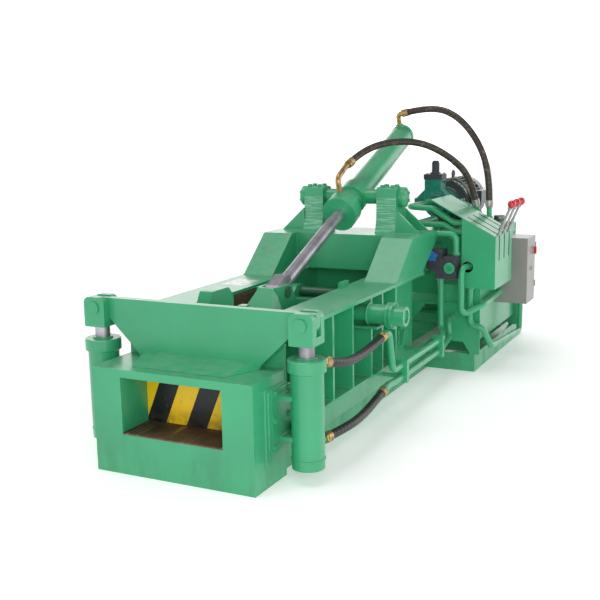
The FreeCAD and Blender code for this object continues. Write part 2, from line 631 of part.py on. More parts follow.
def lid_cylinder_rod():
    """Chromed rod: piston at one end, at the other an eye with the pin's long slot."""
    start = -PIN_TO_TRUNNION
    slot_reach, slot_rise = 23.0, 7.0
    pin = LID_ROD_PIN / 2 + FIT
    eye_end, eye_half = slot_reach + pin + 28, 62.0
    bar = rod(along(start + 60), along(LID_HEAD + 70), LID_ROD / 2)
    piston = rod(along(LID_HEAD + 70), along(LID_HEAD + 120), LID_BORE / 2 - FIT)
    half = LID_ROD / 2 - 1

    def in_rod(p):
        return along(start + p.x, p.y, -half)

    neck_end, neck_half = eye_end + 30, LID_ROD / 2 - 2
    eye = rounded([(-eye_end, -eye_half, 50), (eye_end, -eye_half, 30), (neck_end, -neck_half, 20),
                   (neck_end, neck_half, 20), (eye_end, eye_half, 30), (-eye_end, eye_half, 50)], in_rod)
    reach, rise, round_off = slot_reach + pin, slot_rise + pin, pin
    slot = rounded([(-reach, -rise, round_off), (reach, -rise, round_off), (reach, rise, round_off),
                    (-reach, rise, round_off)], in_rod)
    eye = eye.extrude(X_AXIS * (2 * half)).cut(slot.extrude(X_AXIS * (2 * half)))
    return fuse([bar, piston, eye])


# ---------------------------------------------------------------- main ram
def ram_housing():
    """Guide plates, roof and end wall round the ram's rest place."""
    top, roof = RAM_TOP + 12, 20.0
    front = HINGE_Y - 5
    end = (RAM_WALL, RAM_WALL + 25)
    parts = [block((-HALF, HALF), (front, RAM_WALL), (top, top + roof)),
             block((-WALL_OUT, WALL_OUT), end, (FLOOR_BASE, WALL_TOP - 18))]
    for side in (-1, 1):
        parts.append(sided(block((HALF, WALL_IN), (front, RAM_WALL), (FLOOR_BASE, top + roof)), side))
    wall = fuse(parts)
    return wall.cut(rod(V(0, RAM_WALL - 1, RAM_AXIS_Z), V(0, RAM_WALL + 26, RAM_AXIS_Z), MAIN_ROD / 2 + 4))


def ram_head():
    """Pressing ram: a hollow slide with a thick face and a socket for the rod."""
    half, wall, face = HALF - 6, 30.0, 45.0
    body = block((-half, half), (RAM_FRONT, RAM_FRONT + RAM_LENGTH), (FLOOR_TOP + FIT, RAM_TOP))
    pocket = block((-half + wall, half - wall), (RAM_FRONT + face, RAM_FRONT + RAM_LENGTH + 1),
                   (FLOOR_TOP + wall, RAM_TOP - wall))
    socket = rod(V(0, RAM_FRONT + 20, RAM_AXIS_Z), V(0, RAM_FRONT + 110, RAM_AXIS_Z), MAIN_ROD / 2 + 30)
    seat = rod(V(0, RAM_FRONT + 40, RAM_AXIS_Z), V(0, RAM_FRONT + 111, RAM_AXIS_Z), MAIN_ROD / 2 + FIT)
    return fuse([body.cut(pocket), socket]).cut(seat)


def ram_rod():
    """Main rod with its piston."""
    piston_y = RAM_WALL + RAM_STROKE + 160
    bar = rod(V(0, RAM_FRONT + 40, RAM_AXIS_Z), V(0, piston_y, RAM_AXIS_Z), MAIN_ROD / 2)
    piston = rod(V(0, piston_y, RAM_AXIS_Z), V(0, piston_y + 70, RAM_AXIS_Z), MAIN_BORE / 2 - FIT)
    return fuse([bar, piston])


def main_cylinder():
    """Long barrel flanged on the housing's end wall, with its rear saddle."""
    front = RAM_WALL + 25
    gland, back = front + 70, RAM_WALL + RAM_STROKE + 300
    centre = V(0, 0, RAM_AXIS_Z)
    port = centre + Y_AXIS * (back - 80)
    flange = MAIN_BARREL / 2 + 45.5
    body = fuse([rod(centre + Y_AXIS * front, centre + Y_AXIS * back, MAIN_BARREL / 2),
                 rod(centre + Y_AXIS * front, centre + Y_AXIS * (front + 45), flange),
                 rod(centre + Y_AXIS * (back - 60), centre + Y_AXIS * back, MAIN_BARREL / 2 + 8),
                 rod(port + Z_AXIS * (MAIN_BARREL / 2 - 22.5), port + Z_AXIS * (MAIN_BARREL / 2 + 27.5), 28)])
    body = body.cut(rod(centre + Y_AXIS * gland, centre + Y_AXIS * (back - 50), MAIN_BORE / 2))
    return body.cut(rod(centre + Y_AXIS * (front - 1), centre + Y_AXIS * (gland + 1), MAIN_ROD / 2 + FIT))


def cylinder_saddle():
    """Cradle plate that carries the rear of the main cylinder on the base frame."""
    y = RAM_WALL + RAM_STROKE + 60
    deck = FLOOR_BASE - FLOOR_PLATE
    foot_half, top_half = MAIN_BARREL / 2 + 107.5, MAIN_BARREL / 2 + 27.5
    plate = plate_y([(-foot_half, deck), (foot_half, deck), (top_half, RAM_AXIS_Z, 10),
                     (-top_half, RAM_AXIS_Z, 10)], (y, y + 30))
    foot = block((-SILL_HALF, SILL_HALF), (y - 40, y + 70), (deck, deck + 15))
    plate = fuse([plate, foot])
    return plate.cut(rod(V(0, y - 1, RAM_AXIS_Z), V(0, y + 31, RAM_AXIS_Z), MAIN_BARREL / 2 + FIT))


# ---------------------------------------------------------------- lock cylinder
def lock_cylinder():
    """Side cylinder that drives the lid's lock pin, with its bolted joint ring and cap."""
    start = V(EDGE, LOCK_Y, LOCK_Z)
    r = LOCK_BARREL / 2
    body = fuse([rod(start, start + X_AXIS * 105, r), rod(start + X_AXIS * 105, start + X_AXIS * 123, r + 15),
                 rod(start + X_AXIS * 126, start + X_AXIS * 142, r + 15),
                 rod(start + X_AXIS * 120, start + X_AXIS * 205, r - 3)])
    recess = rod(start + X_AXIS * 195, start + X_AXIS * 206, r - 20)
    bore = rod(start + X_AXIS * 12, start + X_AXIS * 180, 35)
    gland = rod(start - X_AXIS * 1, start + X_AXIS * 13, LOCK_PIN / 2 + FIT)
    return body.cut(recess).cut(bore).cut(gland)


def lock_pin():
    """Pin with its piston; it slides in over the closed lid."""
    tip = V(HALF + 4, LOCK_Y, LOCK_Z)
    piston = V(EDGE + 120, LOCK_Y, LOCK_Z)
    bar = rod(tip, piston, LOCK_PIN / 2)
    return fuse([bar, rod(piston, piston + X_AXIS * 40, 35 - FIT)])


# ---------------------------------------------------------------- bolts
def frame_bolts():
    """Hexagon bolts of bearing caps, brackets, lock cylinder and main cylinder flange."""
    bolts = []
    cap_top = TRUNNION_Z + CAP_RISE
    for side in (-1, 1):
        for x in (214, 282):
            for y in (TRUNNION_Y - 48, TRUNNION_Y + 22):
                bolts.append(bolt(V(side * x, y, cap_top), Z_AXIS, 18))
        for y in (158, 296):
            for z in (182, 305, 427):
                bolts.append(bolt(V(side * (BOX_WIDTH / 2 + 20), y, z), X_AXIS * side, 14))
    ring = V(EDGE + 142, LOCK_Y, LOCK_Z)
    bolts += circle_of_bolts(ring, X_AXIS, Y_AXIS, LOCK_BARREL / 2 + 6, 8, 7, math.pi / 8)
    flange = V(0, RAM_WALL + 70, RAM_AXIS_Z)
    bolts += circle_of_bolts(flange, Y_AXIS, X_AXIS, MAIN_BOLTS, 10, 16, math.pi / 10)
    return bolts


# ---------------------------------------------------------------- power pack: tank and console
CONSOLE_FRONT = PACK_Y - 95
CONSOLE_LEFT, CONSOLE_RIGHT = 645.0, 860.0
CONSOLE_BASE = WALL_TOP - 137
SLOPE_LOW, SLOPE_HIGH = WALL_TOP + 192, WALL_TOP + 307
TANK_FRONT = PACK_Y + 310
SHELF_Z = 428.0
SHEET = 6.0
LEVER_PIVOT = V(760, 0, WALL_TOP - 22)
LEVER_LENGTH = 444.0
LEVER_Y = [PACK_Y - 5 + 120 * index for index in range(3)]
LEVER_AIM = V(math.sin(math.radians(LEVER_TILT)), 0, math.cos(math.radians(LEVER_TILT)))
VALVE_X, VALVE_Y = (446.0, 640.0), (PACK_Y - 195, PACK_Y - 95)
VALVE_Z = (WALL_TOP - 70, WALL_TOP + 113)
PUMP_Y = PACK_Y + 455
MANIFOLD_Z = TANK_TOP + 90


def pack_base():
    """Channel frame under the tank, with cross members."""
    left, right, back, top, wall = SILL_HALF, 711.0, PACK_Y + TANK_LENGTH + 250, 116.0, 12.0
    parts = [block((left, right), (PACK_Y, PACK_Y + wall), (0, top)),
             block((left, right), (back - wall, back), (0, top)),
             block((left, left + wall), (PACK_Y, back), (0, top)),
             block((right - wall, right), (PACK_Y, back), (0, top)),
             block((left, right), (PACK_Y, PACK_Y + 60), (top - wall, top)),
             block((right - 60, right), (PACK_Y, back), (top - wall, top)),
             block((left, left + 60), (PACK_Y, back), (top - wall, top))]
    for bay in range(1, 4):
        y = PACK_Y + bay * (back - PACK_Y) / 4
        parts.append(block((left, right), (y, y + wall), (0, top)))
    return fuse(parts)


def oil_tank():
    """Stepped welded tank on two footed end plates, with the shelf and its front gusset."""
    back, low = PACK_Y + TANK_LENGTH, 193.0
    left, right, plate = 467.0, TANK_RIGHT, 10.0
    shelf_left, tank_left, gusset_low, foot_low, foot_right = 200.0, 130.0, SHELF_Z - 118, 116.0, 741.0
    gusset = [(shelf_left, SHELF_Z), (371, SHELF_Z), (371, SHELF_Z - 12), (278, gusset_low),
              (shelf_left, gusset_low)]
    parts = [block((left, right), (PACK_Y, back), (low, SHELF_Z)),
             block((shelf_left, right), (PACK_Y, back), (SHELF_Z, SHELF_Z + plate)),
             block((tank_left, right), (TANK_FRONT, back), (SHELF_Z + plate, TANK_TOP)),
             plate_y(gusset, (PACK_Y, PACK_Y + plate))]
    foot = [(left, foot_low), (473, foot_low), (531, 197), (631, 197), (681, foot_low),
            (foot_right, foot_low), (foot_right, SHELF_Z), (left, SHELF_Z)]
    for y in (PACK_Y, back - plate):
        parts.append(plate_y(foot, (y, y + plate)))
    return fuse(parts)


def console_stand():
    """Lipped box on the shelf that carries the console."""
    lip = 8.0
    body = block((462, 742), (PACK_Y, TANK_FRONT), (SHELF_Z + 10, CONSOLE_BASE))
    base = block((462 - lip, 742 + lip), (PACK_Y - lip, TANK_FRONT), (SHELF_Z + 10, SHELF_Z + 20))
    return fuse([body, base])


def console():
    """Sheet-metal lever console with a sloped top that runs out to the left as a drip plate."""
    left, right, base, low, high = CONSOLE_LEFT, CONSOLE_RIGHT, CONSOLE_BASE, SLOPE_LOW, SLOPE_HIGH
    y = (CONSOLE_FRONT, TANK_FRONT)
    slope = (high - low) / (right - left)
    reach = 202.0
    rise = reach * slope
    shell = plate_y([(left, base), (right, base), (right, low), (left, high)], y)
    thick = SHEET * math.hypot(1, slope)
    inside_left, inside_right = left + SHEET, right - SHEET
    inside = plate_y([(inside_left, base + SHEET), (inside_right, base + SHEET),
                      (inside_right, low - thick + slope * SHEET), (inside_left, high - thick - slope * SHEET)],
                     (y[0] + SHEET, y[1] - SHEET))
    lap, edge = left + 3, left - reach
    drip = plate_y([(lap, high - 3 * slope), (edge, high + rise), (edge, high + rise - thick),
                    (lap, high - thick - 3 * slope)], y)
    box = fuse([shell.cut(inside), drip])
    width = 16.0
    for lever_y in LEVER_Y:
        slot = plate_y([(left + 10, high + 60), (left + 10, high - 60), (right - 60, WALL_TOP + 34),
                        (right + 10, WALL_TOP + 34), (right + 10, high + 60)],
                       (lever_y - width / 2, lever_y + width / 2))
        box = box.cut(slot)
    hole = V(left + 40, y[0] - 1, WALL_TOP - 3)
    return box.cut(rod(hole, hole + Y_AXIS * 20, 35))


def control_valve():
    """Lever valve bank inside the console, with ears for each lever."""
    floor = CONSOLE_BASE + SHEET
    top = LEVER_PIVOT.z - 25
    parts = [block((690, 830), (CONSOLE_FRONT + 50, TANK_FRONT - 35), (floor, top))]
    for lever_y in LEVER_Y:
        for low in (lever_y - 19, lever_y + 11):
            x, z = LEVER_PIVOT.x, LEVER_PIVOT.z
            parts.append(plate_y([(x - 16, top), (x + 16, top), (x + 16, z + 16, 15), (x - 16, z + 16, 15)],
                                 (low, low + 8)))
    bank = fuse(parts)
    axis = V(LEVER_PIVOT.x, CONSOLE_FRONT, LEVER_PIVOT.z)
    return bank.cut(rod(axis, axis + Y_AXIS * 420, 6 + FIT))


def lever(y):
    """Bent-free hand lever with its hub and pivot pin."""
    pivot = LEVER_PIVOT + Y_AXIS * y
    stem = rod(pivot, pivot + LEVER_AIM * (LEVER_LENGTH - 5), 7)
    hub = rod(pivot - Y_AXIS * 10, pivot + Y_AXIS * 10, 15)
    pin = rod(pivot - Y_AXIS * 19, pivot + Y_AXIS * 19, 6)
    return fuse([stem, hub, pin])


def lever_knob(y):
    """Ball knob with its blind bore."""
    pivot = LEVER_PIVOT + Y_AXIS * y
    ball = Part.makeSphere(KNOB / 2, pivot + LEVER_AIM * LEVER_LENGTH)
    bore_start, bore_end = LEVER_LENGTH - 40, LEVER_LENGTH - 4.8
    return ball.cut(rod(pivot + LEVER_AIM * bore_start, pivot + LEVER_AIM * bore_end, 7.2))


def relief_valve():
    """Valve block in the pipe run, stepped below, with a flanged side port."""
    (x0, x1), (y0, y1), (z0, z1) = VALVE_X, VALVE_Y, VALVE_Z
    notch = x0 + 60
    outline = [(x0, z1 - 20), (x0 + 20, z1), (x1, z1), (x1, z0), (notch, z0), (notch, z0 + 38), (x0, z0 + 62)]
    body = plate_y(outline, (y0, y1))
    stem = V(WHEEL.x, y0 - 1, WHEEL.z)
    return body.cut(rod(stem, stem + Y_AXIS * 26, 8 + FIT))


WHEEL = V(496, PACK_Y - 229, WALL_TOP + 72)


def relief_hand_wheel():
    """Five-lobed hand wheel on its stem."""
    disc = rod(WHEEL, WHEEL + Y_AXIS * 20, 25)
    lobes = []
    for step in range(5):
        turn = math.radians(90 + 72 * step)
        spot = WHEEL + V(24 * math.cos(turn), 0, 24 * math.sin(turn))
        lobes.append(rod(spot, spot + Y_AXIS * 20, 9))
    stem = rod(WHEEL + Y_AXIS * 10, WHEEL + Y_AXIS * (VALVE_Y[0] - WHEEL.y + 20), 8)
    return fuse([disc, stem] + lobes)


# ---------------------------------------------------------------- power pack: pump, motor, electrics
def pump():
    """Piston pump: body along Y, stroke control tower on top, ports on both sides."""
    axis = V(PUMP_X, 0, PUMP_Z)
    body = [rod(axis + Y_AXIS * (PUMP_Y - 60), axis + Y_AXIS * (PUMP_Y + 62), 88),
            rod(axis + Y_AXIS * (PUMP_Y - 85), axis + Y_AXIS * (PUMP_Y - 55), 72),
            rod(axis + Y_AXIS * (PUMP_Y + 62), axis + Y_AXIS * (PUMP_Y + 80), 105)]
    core = V(PUMP_X, PUMP_Y, PUMP_Z)
    body += [rod(core, core + Z_AXIS * 170, 52), rod(core + Z_AXIS * 95, core + Z_AXIS * 112, 66),
             rod(core + Z_AXIS * 170, core + Z_AXIS * 205, 44)]
    body.append(rod(core - X_AXIS * 165, core + X_AXIS * 165, 30))
    pad_y, pad_z = (PUMP_Y - 40, PUMP_Y + 40), (PUMP_Z - 40, PUMP_Z + 40)
    body += [block((PUMP_X + x, PUMP_X + x + 18), pad_y, pad_z) for x in (-165, 147)]
    shaft = rod(axis + Y_AXIS * (PUMP_Y + 30), axis + Y_AXIS * (PUMP_Y + 81), 19 + FIT)
    return fuse(body).cut(shaft)


def pump_cap():
    """Black adjuster tube on the pump's tower."""
    base = V(PUMP_X, PUMP_Y, PUMP_Z + 205)
    return fuse([rod(base, base + Z_AXIS * 12, 30), rod(base + Z_AXIS * 12, base + Z_AXIS * 75, 17),
                 rod(base + Z_AXIS * 75, base + Z_AXIS * 84, 21)])


def bell_housing():
    """Flanged lantern between pump and motor, standing on the tank."""
    axis = V(PUMP_X, 0, PUMP_Z)
    front, back = PUMP_Y + 80, PUMP_Y + 165
    body = fuse([rod(axis + Y_AXIS * front, axis + Y_AXIS * back, 110),
                 rod(axis + Y_AXIS * (back - 14), axis + Y_AXIS * back, 150),
                 block((PUMP_X - 75, PUMP_X + 75), (front + 15, back - 15), (TANK_TOP, PUMP_Z - 60))])
    body = body.cut(rod(axis + Y_AXIS * (front + 12), axis + Y_AXIS * (back + 1), 80))
    return body.cut(rod(axis + Y_AXIS * (front - 1), axis + Y_AXIS * (front + 13), 40))


MOTOR_FRONT, MOTOR_BACK = PUMP_Y + 165, PUMP_Y + 590


def electric_motor():
    """Finned foot motor with terminal box, fan cowl and lifting eye."""
    axis = V(PUMP_X, 0, PUMP_Z)
    r, fin, count = 140.0, 24.0, 30
    casing = rod(axis + Y_AXIS * (MOTOR_FRONT + 22), axis + Y_AXIS * (MOTOR_BACK - 82), r)
    fins, fin_y, fin_half = [], (MOTOR_FRONT + 34, MOTOR_BACK - 92), 2.5
    for index in range(count):
        blade = block((PUMP_X + r - 4, PUMP_X + r + fin), fin_y, (PUMP_Z - fin_half, PUMP_Z + fin_half))
        blade.rotate(axis, Y_AXIS, 360 * (index + 0.5) / count)
        fins.append(blade)
    parts = [casing] + fins
    parts.append(rod(axis + Y_AXIS * MOTOR_FRONT, axis + Y_AXIS * (MOTOR_FRONT + 26), 155))
    parts.append(rod(axis + Y_AXIS * (MOTOR_BACK - 86), axis + Y_AXIS * MOTOR_BACK, 160))
    feet_y, box_y = (MOTOR_FRONT + 50, MOTOR_BACK - 120), (MOTOR_FRONT + 90, MOTOR_FRONT + 220)
    for x in (-120, 80):
        parts.append(block((PUMP_X + x, PUMP_X + x + 40), feet_y, (TANK_TOP, PUMP_Z - 90)))
    parts.append(block((PUMP_X + 120, PUMP_X + 225), box_y, (PUMP_Z - 20, PUMP_Z + 75)))
    eye = V(PUMP_X, MOTOR_FRONT + 150, PUMP_Z + r + fin + 26)
    parts.append(Part.makeTorus(22, 6.5, eye, X_AXIS))
    parts.append(rod(V(eye.x, eye.y, PUMP_Z + r - 5), V(eye.x, eye.y, eye.z - 20), 13))
    motor = fuse(parts)
    motor = motor.cut(rod(axis + Y_AXIS * (MOTOR_FRONT + 30), axis + Y_AXIS * (MOTOR_BACK - 90), 108))
    return motor.cut(rod(axis + Y_AXIS * (MOTOR_FRONT - 1), axis + Y_AXIS * (MOTOR_FRONT + 31), 19 + FIT))


def motor_rotor():
    """Rotor with the shaft and coupling that drive the pump."""
    axis = V(PUMP_X, 0, PUMP_Z)
    return fuse([rod(axis + Y_AXIS * (PUMP_Y + 35), axis + Y_AXIS * (MOTOR_BACK - 110), 19),
                 rod(axis + Y_AXIS * (MOTOR_FRONT + 60), axis + Y_AXIS * (MOTOR_BACK - 130), 104),
                 rod(axis + Y_AXIS * (PUMP_Y + 100), axis + Y_AXIS * (PUMP_Y + 150), 36)])


def manifold():
    """Distribution block on the tank top, with two stand pipes for the lid cylinder's hoses."""
    y = HOSES["lid_rear"][-1].y
    body = block((568, 707), (y - 35, y + 35), (TANK_TOP, MANIFOLD_Z))
    stands = []
    for name in ("lid_rear", "lid_front"):
        end, aim = hose_landing(name)
        foot = end - aim * ((end.z - MANIFOLD_Z + 15) / aim.z)
        stands.append(rod(foot, end, 17))
        stands.append(rod(foot, foot + aim * (28 / aim.z), 23))
    return fuse([body] + stands)


BOX_X, BOX_Y, BOX_Z = (TANK_RIGHT, 903.0), (PACK_Y + 485, PACK_Y + 705), (375.0, 820.0)
DOOR_THICK = 21.0
DOOR_AXIS = V(BOX_X[1] + 22, BOX_Y[1] + 7, 0)


def electric_box():
    """Sheet cabinet on the tank's side, with its mounting plate and hinge leaves."""
    wall = 4.0
    shell = block(BOX_X, BOX_Y, BOX_Z)
    inside = block((BOX_X[0] + wall, BOX_X[1] + 1), (BOX_Y[0] + wall, BOX_Y[1] - wall),
                   (BOX_Z[0] + wall, BOX_Z[1] - wall))
    parts = [shell.cut(inside)]
    for z in (BOX_Z[0] + 90, BOX_Z[1] - 90):
        leaf = block((BOX_X[1] - 25, DOOR_AXIS.x), (BOX_Y[1], BOX_Y[1] + 3), (z, z + 20))
        relief = block((BOX_X[1], BOX_X[1] + 40), (BOX_Y[1] - 1, BOX_Y[1] + 0.6), (z - 1, z + 21))
        parts.append(leaf.cut(relief))
        parts.append(rod(V(DOOR_AXIS.x, DOOR_AXIS.y, z), V(DOOR_AXIS.x, DOOR_AXIS.y, z + 20), 5.5))
    return fuse(parts)


def electric_box_door():
    """Folded door with its knuckles, hung at the rear edge."""
    x0, fold = BOX_X[1] + 0.5, 12.0
    door = block((x0, x0 + DOOR_THICK), BOX_Y, BOX_Z)
    hollow = block((x0 - 1, x0 + DOOR_THICK - 3), (BOX_Y[0] + fold, BOX_Y[1] - fold),
                   (BOX_Z[0] + fold, BOX_Z[1] - fold))
    parts = [door.cut(hollow)]
    for z in (BOX_Z[0] + 112, BOX_Z[1] - 68):
        parts.append(rod(V(DOOR_AXIS.x, DOOR_AXIS.y, z), V(DOOR_AXIS.x, DOOR_AXIS.y, z + 18), 5.5))
        parts.append(block((x0 + 8, x0 + DOOR_THICK), (BOX_Y[1] - 2, DOOR_AXIS.y), (z, z + 18)))
    door = fuse(parts)
    hub = V(x0, SWITCH.y, SWITCH.z)
    return door.cut(rod(hub, hub + X_AXIS * 40, 10 + FIT))


SWITCH = V(0, PACK_Y + 642, 723)


def isolator_switch():
    """Rotary handle on a round escutcheon shaft through the door."""
    face = BOX_X[1] + 0.5 + DOOR_THICK
    hub = V(face, SWITCH.y, SWITCH.z)
    grip = block((face + 8, face + 24), (SWITCH.y - 7, SWITCH.y + 7), (SWITCH.z - 24, SWITCH.z + 24))
    collar = rod(hub + X_AXIS * FIT, hub + X_AXIS * 9, 26)
    return fuse([rod(hub - X_AXIS * 18, hub + X_AXIS * 12, 10), collar, grip])


def switchgear():
    """Mounting plate, rail and contactors inside the cabinet."""
    x, y0, y1 = BOX_X[0] + 4, BOX_Y[0] + 20, BOX_Y[1] - 20
    plate = block((x, x + 3), (y0, y1), (BOX_Z[0] + 40, BOX_Z[1] - 40))
    parts = [plate]
    for z, depth, count in ((700, 70, 3), (560, 85, 2), (450, 50, 4)):
        parts.append(block((x + 3, x + 10), (y0 + 5, y1 - 5), (z + 20, z + 45)))
        width = (y1 - y0 - 20) / count
        for index in range(count):
            y = y0 + 10 + index * width
            parts.append(block((x + 10, x + depth), (y + 2, y + width - 2), (z, z + 65)))
    return fuse(parts)


# ---------------------------------------------------------------- pipes and hoses
def pressure_pipes():
    """Steel pipes between pump, valve block, console and tank."""
    (x0, x1), (y0, y1), (z0, z1) = VALVE_X, VALVE_Y, VALVE_Z
    valve_y = (y0 + y1) / 2 + 5
    console_hole = V(CONSOLE_LEFT + 40, CONSOLE_FRONT + 49.7, WALL_TOP - 2)
    drop_x, tank_x = x1 + 24.5, TANK_RIGHT + FIT
    left, front = CONSOLE_LEFT - FIT, TANK_FRONT - FIT
    feed_y, drop_y, low_y = y1 - 25, CONSOLE_FRONT + 30, CONSOLE_FRONT + 50
    high, mid, low = WALL_TOP + 238, WALL_TOP + 170, WALL_TOP + 88
    return [
        pipe([V(260, PUMP_Y - 86, PUMP_Z + 22), V(260, feed_y, WALL_TOP + 368),
              V(560, feed_y, WALL_TOP + 370), V(560, feed_y, z1 + FIT)], THIN_PIPE, 45),
        pipe([V(left, drop_y, high), V(383, drop_y, high), V(383, drop_y, 600), V(383, front, 600)]),
        pipe([V(PUMP_X + 165.3, PUMP_Y, PUMP_Z), V(538, PUMP_Y, PUMP_Z), V(538, PACK_Y + 245, WALL_TOP + 200),
              V(538, PACK_Y, mid), V(left, PACK_Y, mid)], PIPE, 45),
        pipe([V(x0 - FIT, valve_y, low), V(330, valve_y, low), V(330, front, low)]),
        pipe([console_hole, V(drop_x, y0 + 40, WALL_TOP - 2), V(drop_x, y0 + 36, 395),
              V(774, PACK_Y - 15, 457), V(774, PACK_Y + 410, 474), V(tank_x, PACK_Y + 410, 474)], PIPE, 42),
        pipe([V(690, low_y, CONSOLE_BASE - FIT), V(690, low_y, 325), V(775, low_y + 2, 303),
              V(806, PACK_Y + 45, 172), V(806, PACK_Y + 805, 122), V(806, PACK_Y + 810, 340),
              V(tank_x, PACK_Y + 810, 340)], PIPE, 42),
    ]


PIPE_X = EDGE + 107.0       # the two pipes along the right side
UPPER_PIPE_Z, LOWER_PIPE_Z = 290.0, 224.0


def side_pipes():
    """Two pipes along the right side to the gate cylinders, with their clamps."""
    valve_y, rise_x = (VALVE_Y[0] + VALVE_Y[1]) / 2 + 5, 527.0
    start, aim = hose_landing("gate_upper")
    upper = pipe([start + aim * FIT, start + aim * 78, V(PIPE_X, start.y + 124, UPPER_PIPE_Z),
                  V(PIPE_X, HINGE_Y + 400, UPPER_PIPE_Z), V(rise_x, valve_y, 300),
                  V(rise_x, valve_y, VALVE_Z[0] - FIT)], PIPE, 46)
    start, aim = hose_landing("gate_lower")
    lower = pipe([start + aim * FIT, start + aim * 70, V(PIPE_X, start.y + 160, LOWER_PIPE_Z),
                  V(PIPE_X, HINGE_Y + 380, LOWER_PIPE_Z), V(572, PACK_Y - 92, 240), V(560, PACK_Y - 78, 350),
                  V(560, PACK_Y - FIT, 350)], PIPE, 46)
    clamps = []
    for y, root in ((HINGE_Y - 320, EDGE), (HINGE_Y + 300, SILL_HALF)):
        strap = fuse([block((PIPE_X - 34, PIPE_X + 34), (y, y + 30), (LOWER_PIPE_Z - 32, UPPER_PIPE_Z + 32)),
                      block((root, PIPE_X - 34), (y, y + 30), (LOWER_PIPE_Z - 8, LOWER_PIPE_Z + 8))])
        for z in (LOWER_PIPE_Z, UPPER_PIPE_Z):
            strap = strap.cut(rod(V(PIPE_X, y - 1, z), V(PIPE_X, y + 31, z), PIPE / 2 + FIT))
        clamps.append(strap)
    return [upper, lower] + clamps


def ferrule(fitting_end, hose_end):
    """Crimped sleeve on the hose end with a smaller nut towards the fitting."""
    aim = (hose_end - fitting_end).normalize()
    nut = rod(fitting_end + aim * FIT, fitting_end + aim * 14, HOSE / 2 - 1)
    sleeve = rod(fitting_end + aim * 13, hose_end, HOSE / 2 + 3)
    return fuse([nut, sleeve])


def hose_end_fittings():
    """Fittings of the hose ends on the machine: gate cylinder ports, side pipes and manifold."""
    fittings = [ferrule(hose_port(name)[0], HOSES[name][0]) for name in ("gate_upper", "gate_lower")]
    fittings += [ferrule(hose_landing(name)[0], HOSES[name][-1]) for name in HOSES]
    return fittings


def lid_cylinder_fittings():
    """Elbows on the lid cylinder that carry its two hoses."""
    elbow_bore = 34.0
    fittings = []
    rear, aim = hose_port("lid_rear")
    port = along(LID_TAIL - 30, LID_BARREL / 2 + 14 + FIT)
    elbow = piped([port, rear - aim * 35, rear], elbow_bore, 28)[0]
    fittings.append(fuse([elbow, rod(rear - aim * 3, HOSES["lid_rear"][0], HOSE / 2 + 3)]))
    front, aim = hose_port("lid_front")
    port, corner = along(LID_HEAD + 70, LID_DRUM + 12 + FIT), along(LID_HEAD + 70, LID_DRUM + 102)
    elbow = piped([port, corner, front - aim * 40, front], elbow_bore, 40)[0]
    fittings.append(fuse([elbow, rod(front - aim * 3, HOSES["lid_front"][0], HOSE / 2 + 3)]))
    return fittings


def hose(name):
    """Rubber hose along its route; prints its length, bend radii and volume check."""
    solid, length, radii = piped(HOSES[name], HOSE)
    section = math.pi * HOSE ** 2 / 4
    print(f"hose {name}: {length:.0f} mm, radii {[round(r) for r in radii]}, "
          f"volume / (section x length) {solid.Volume / section / length:.4f}")
    return solid


def guide_cover():
    """Round bolted cover on the rear side plate."""
    centre = V(SILL_HALF, HINGE_Y + 150, 335)
    cover = fuse([rod(centre, centre + X_AXIS * 40, 66), rod(centre + X_AXIS * 40, centre + X_AXIS * 62, 40)])
    bolts = circle_of_bolts(centre + X_AXIS * 40, X_AXIS, Y_AXIS, 53, 6, 9)
    return fuse([cover] + bolts)


NODES = {}


def build_frame():
    NODES["outlet_box"] = [outlet_box()]
    NODES["floor_liner"] = [floor_liner()]
    NODES["base_frame"] = [base_frame()]
    NODES["gate_panel"] = [gate_panel()]
    NODES["gate_crossbeam"] = [gate_crossbeam()]
    NODES["gate_pins"] = gate_pins()
    NODES["gate_cylinder_heads"] = gate_cylinder_heads()
    NODES["cylinder_brackets"] = cylinder_brackets()
    NODES["wall_liners"] = wall_liners()
    NODES["portal_crossbeam"] = [portal_crossbeam()]
    NODES["bearing_caps"] = bearing_caps()
    NODES["frame_bolts"] = frame_bolts()
    NODES["gate_clevises"] = [gate_clevis(side) for side in (-1, 1)]
    NODES["gate_rods"] = [gate_rod(side) for side in (-1, 1)]
    NODES["gate_cylinders"] = [gate_cylinder(side) for side in (-1, 1)]
    NODES["portal_legs"] = [portal_leg(side) for side in (-1, 1)]
    NODES["bearing_pedestals"] = [pedestal(side) for side in (-1, 1)]
    NODES["side_wall_left"] = [side_wall(-1)]
    NODES["side_wall_right"] = [side_wall(1)]


def build_lid_and_ram():
    NODES["lid"] = [lid()]
    NODES["lid_pins"] = [lid_rod_pin(), lid_hinge_pin()]
    NODES["lid_cylinder_barrel"] = [lid_cylinder_barrel()]
    NODES["lid_cylinder_trunnion"] = [lid_cylinder_trunnion()]
    NODES["lid_cylinder_rod"] = [lid_cylinder_rod()]
    NODES["ram_housing"] = [ram_housing()]
    NODES["ram_head"] = [ram_head()]
    NODES["ram_rod"] = [ram_rod()]
    NODES["main_cylinder"] = [main_cylinder(), cylinder_saddle()]
    NODES["lock_cylinder"] = [lock_cylinder()]
    NODES["lock_pin"] = [lock_pin()]


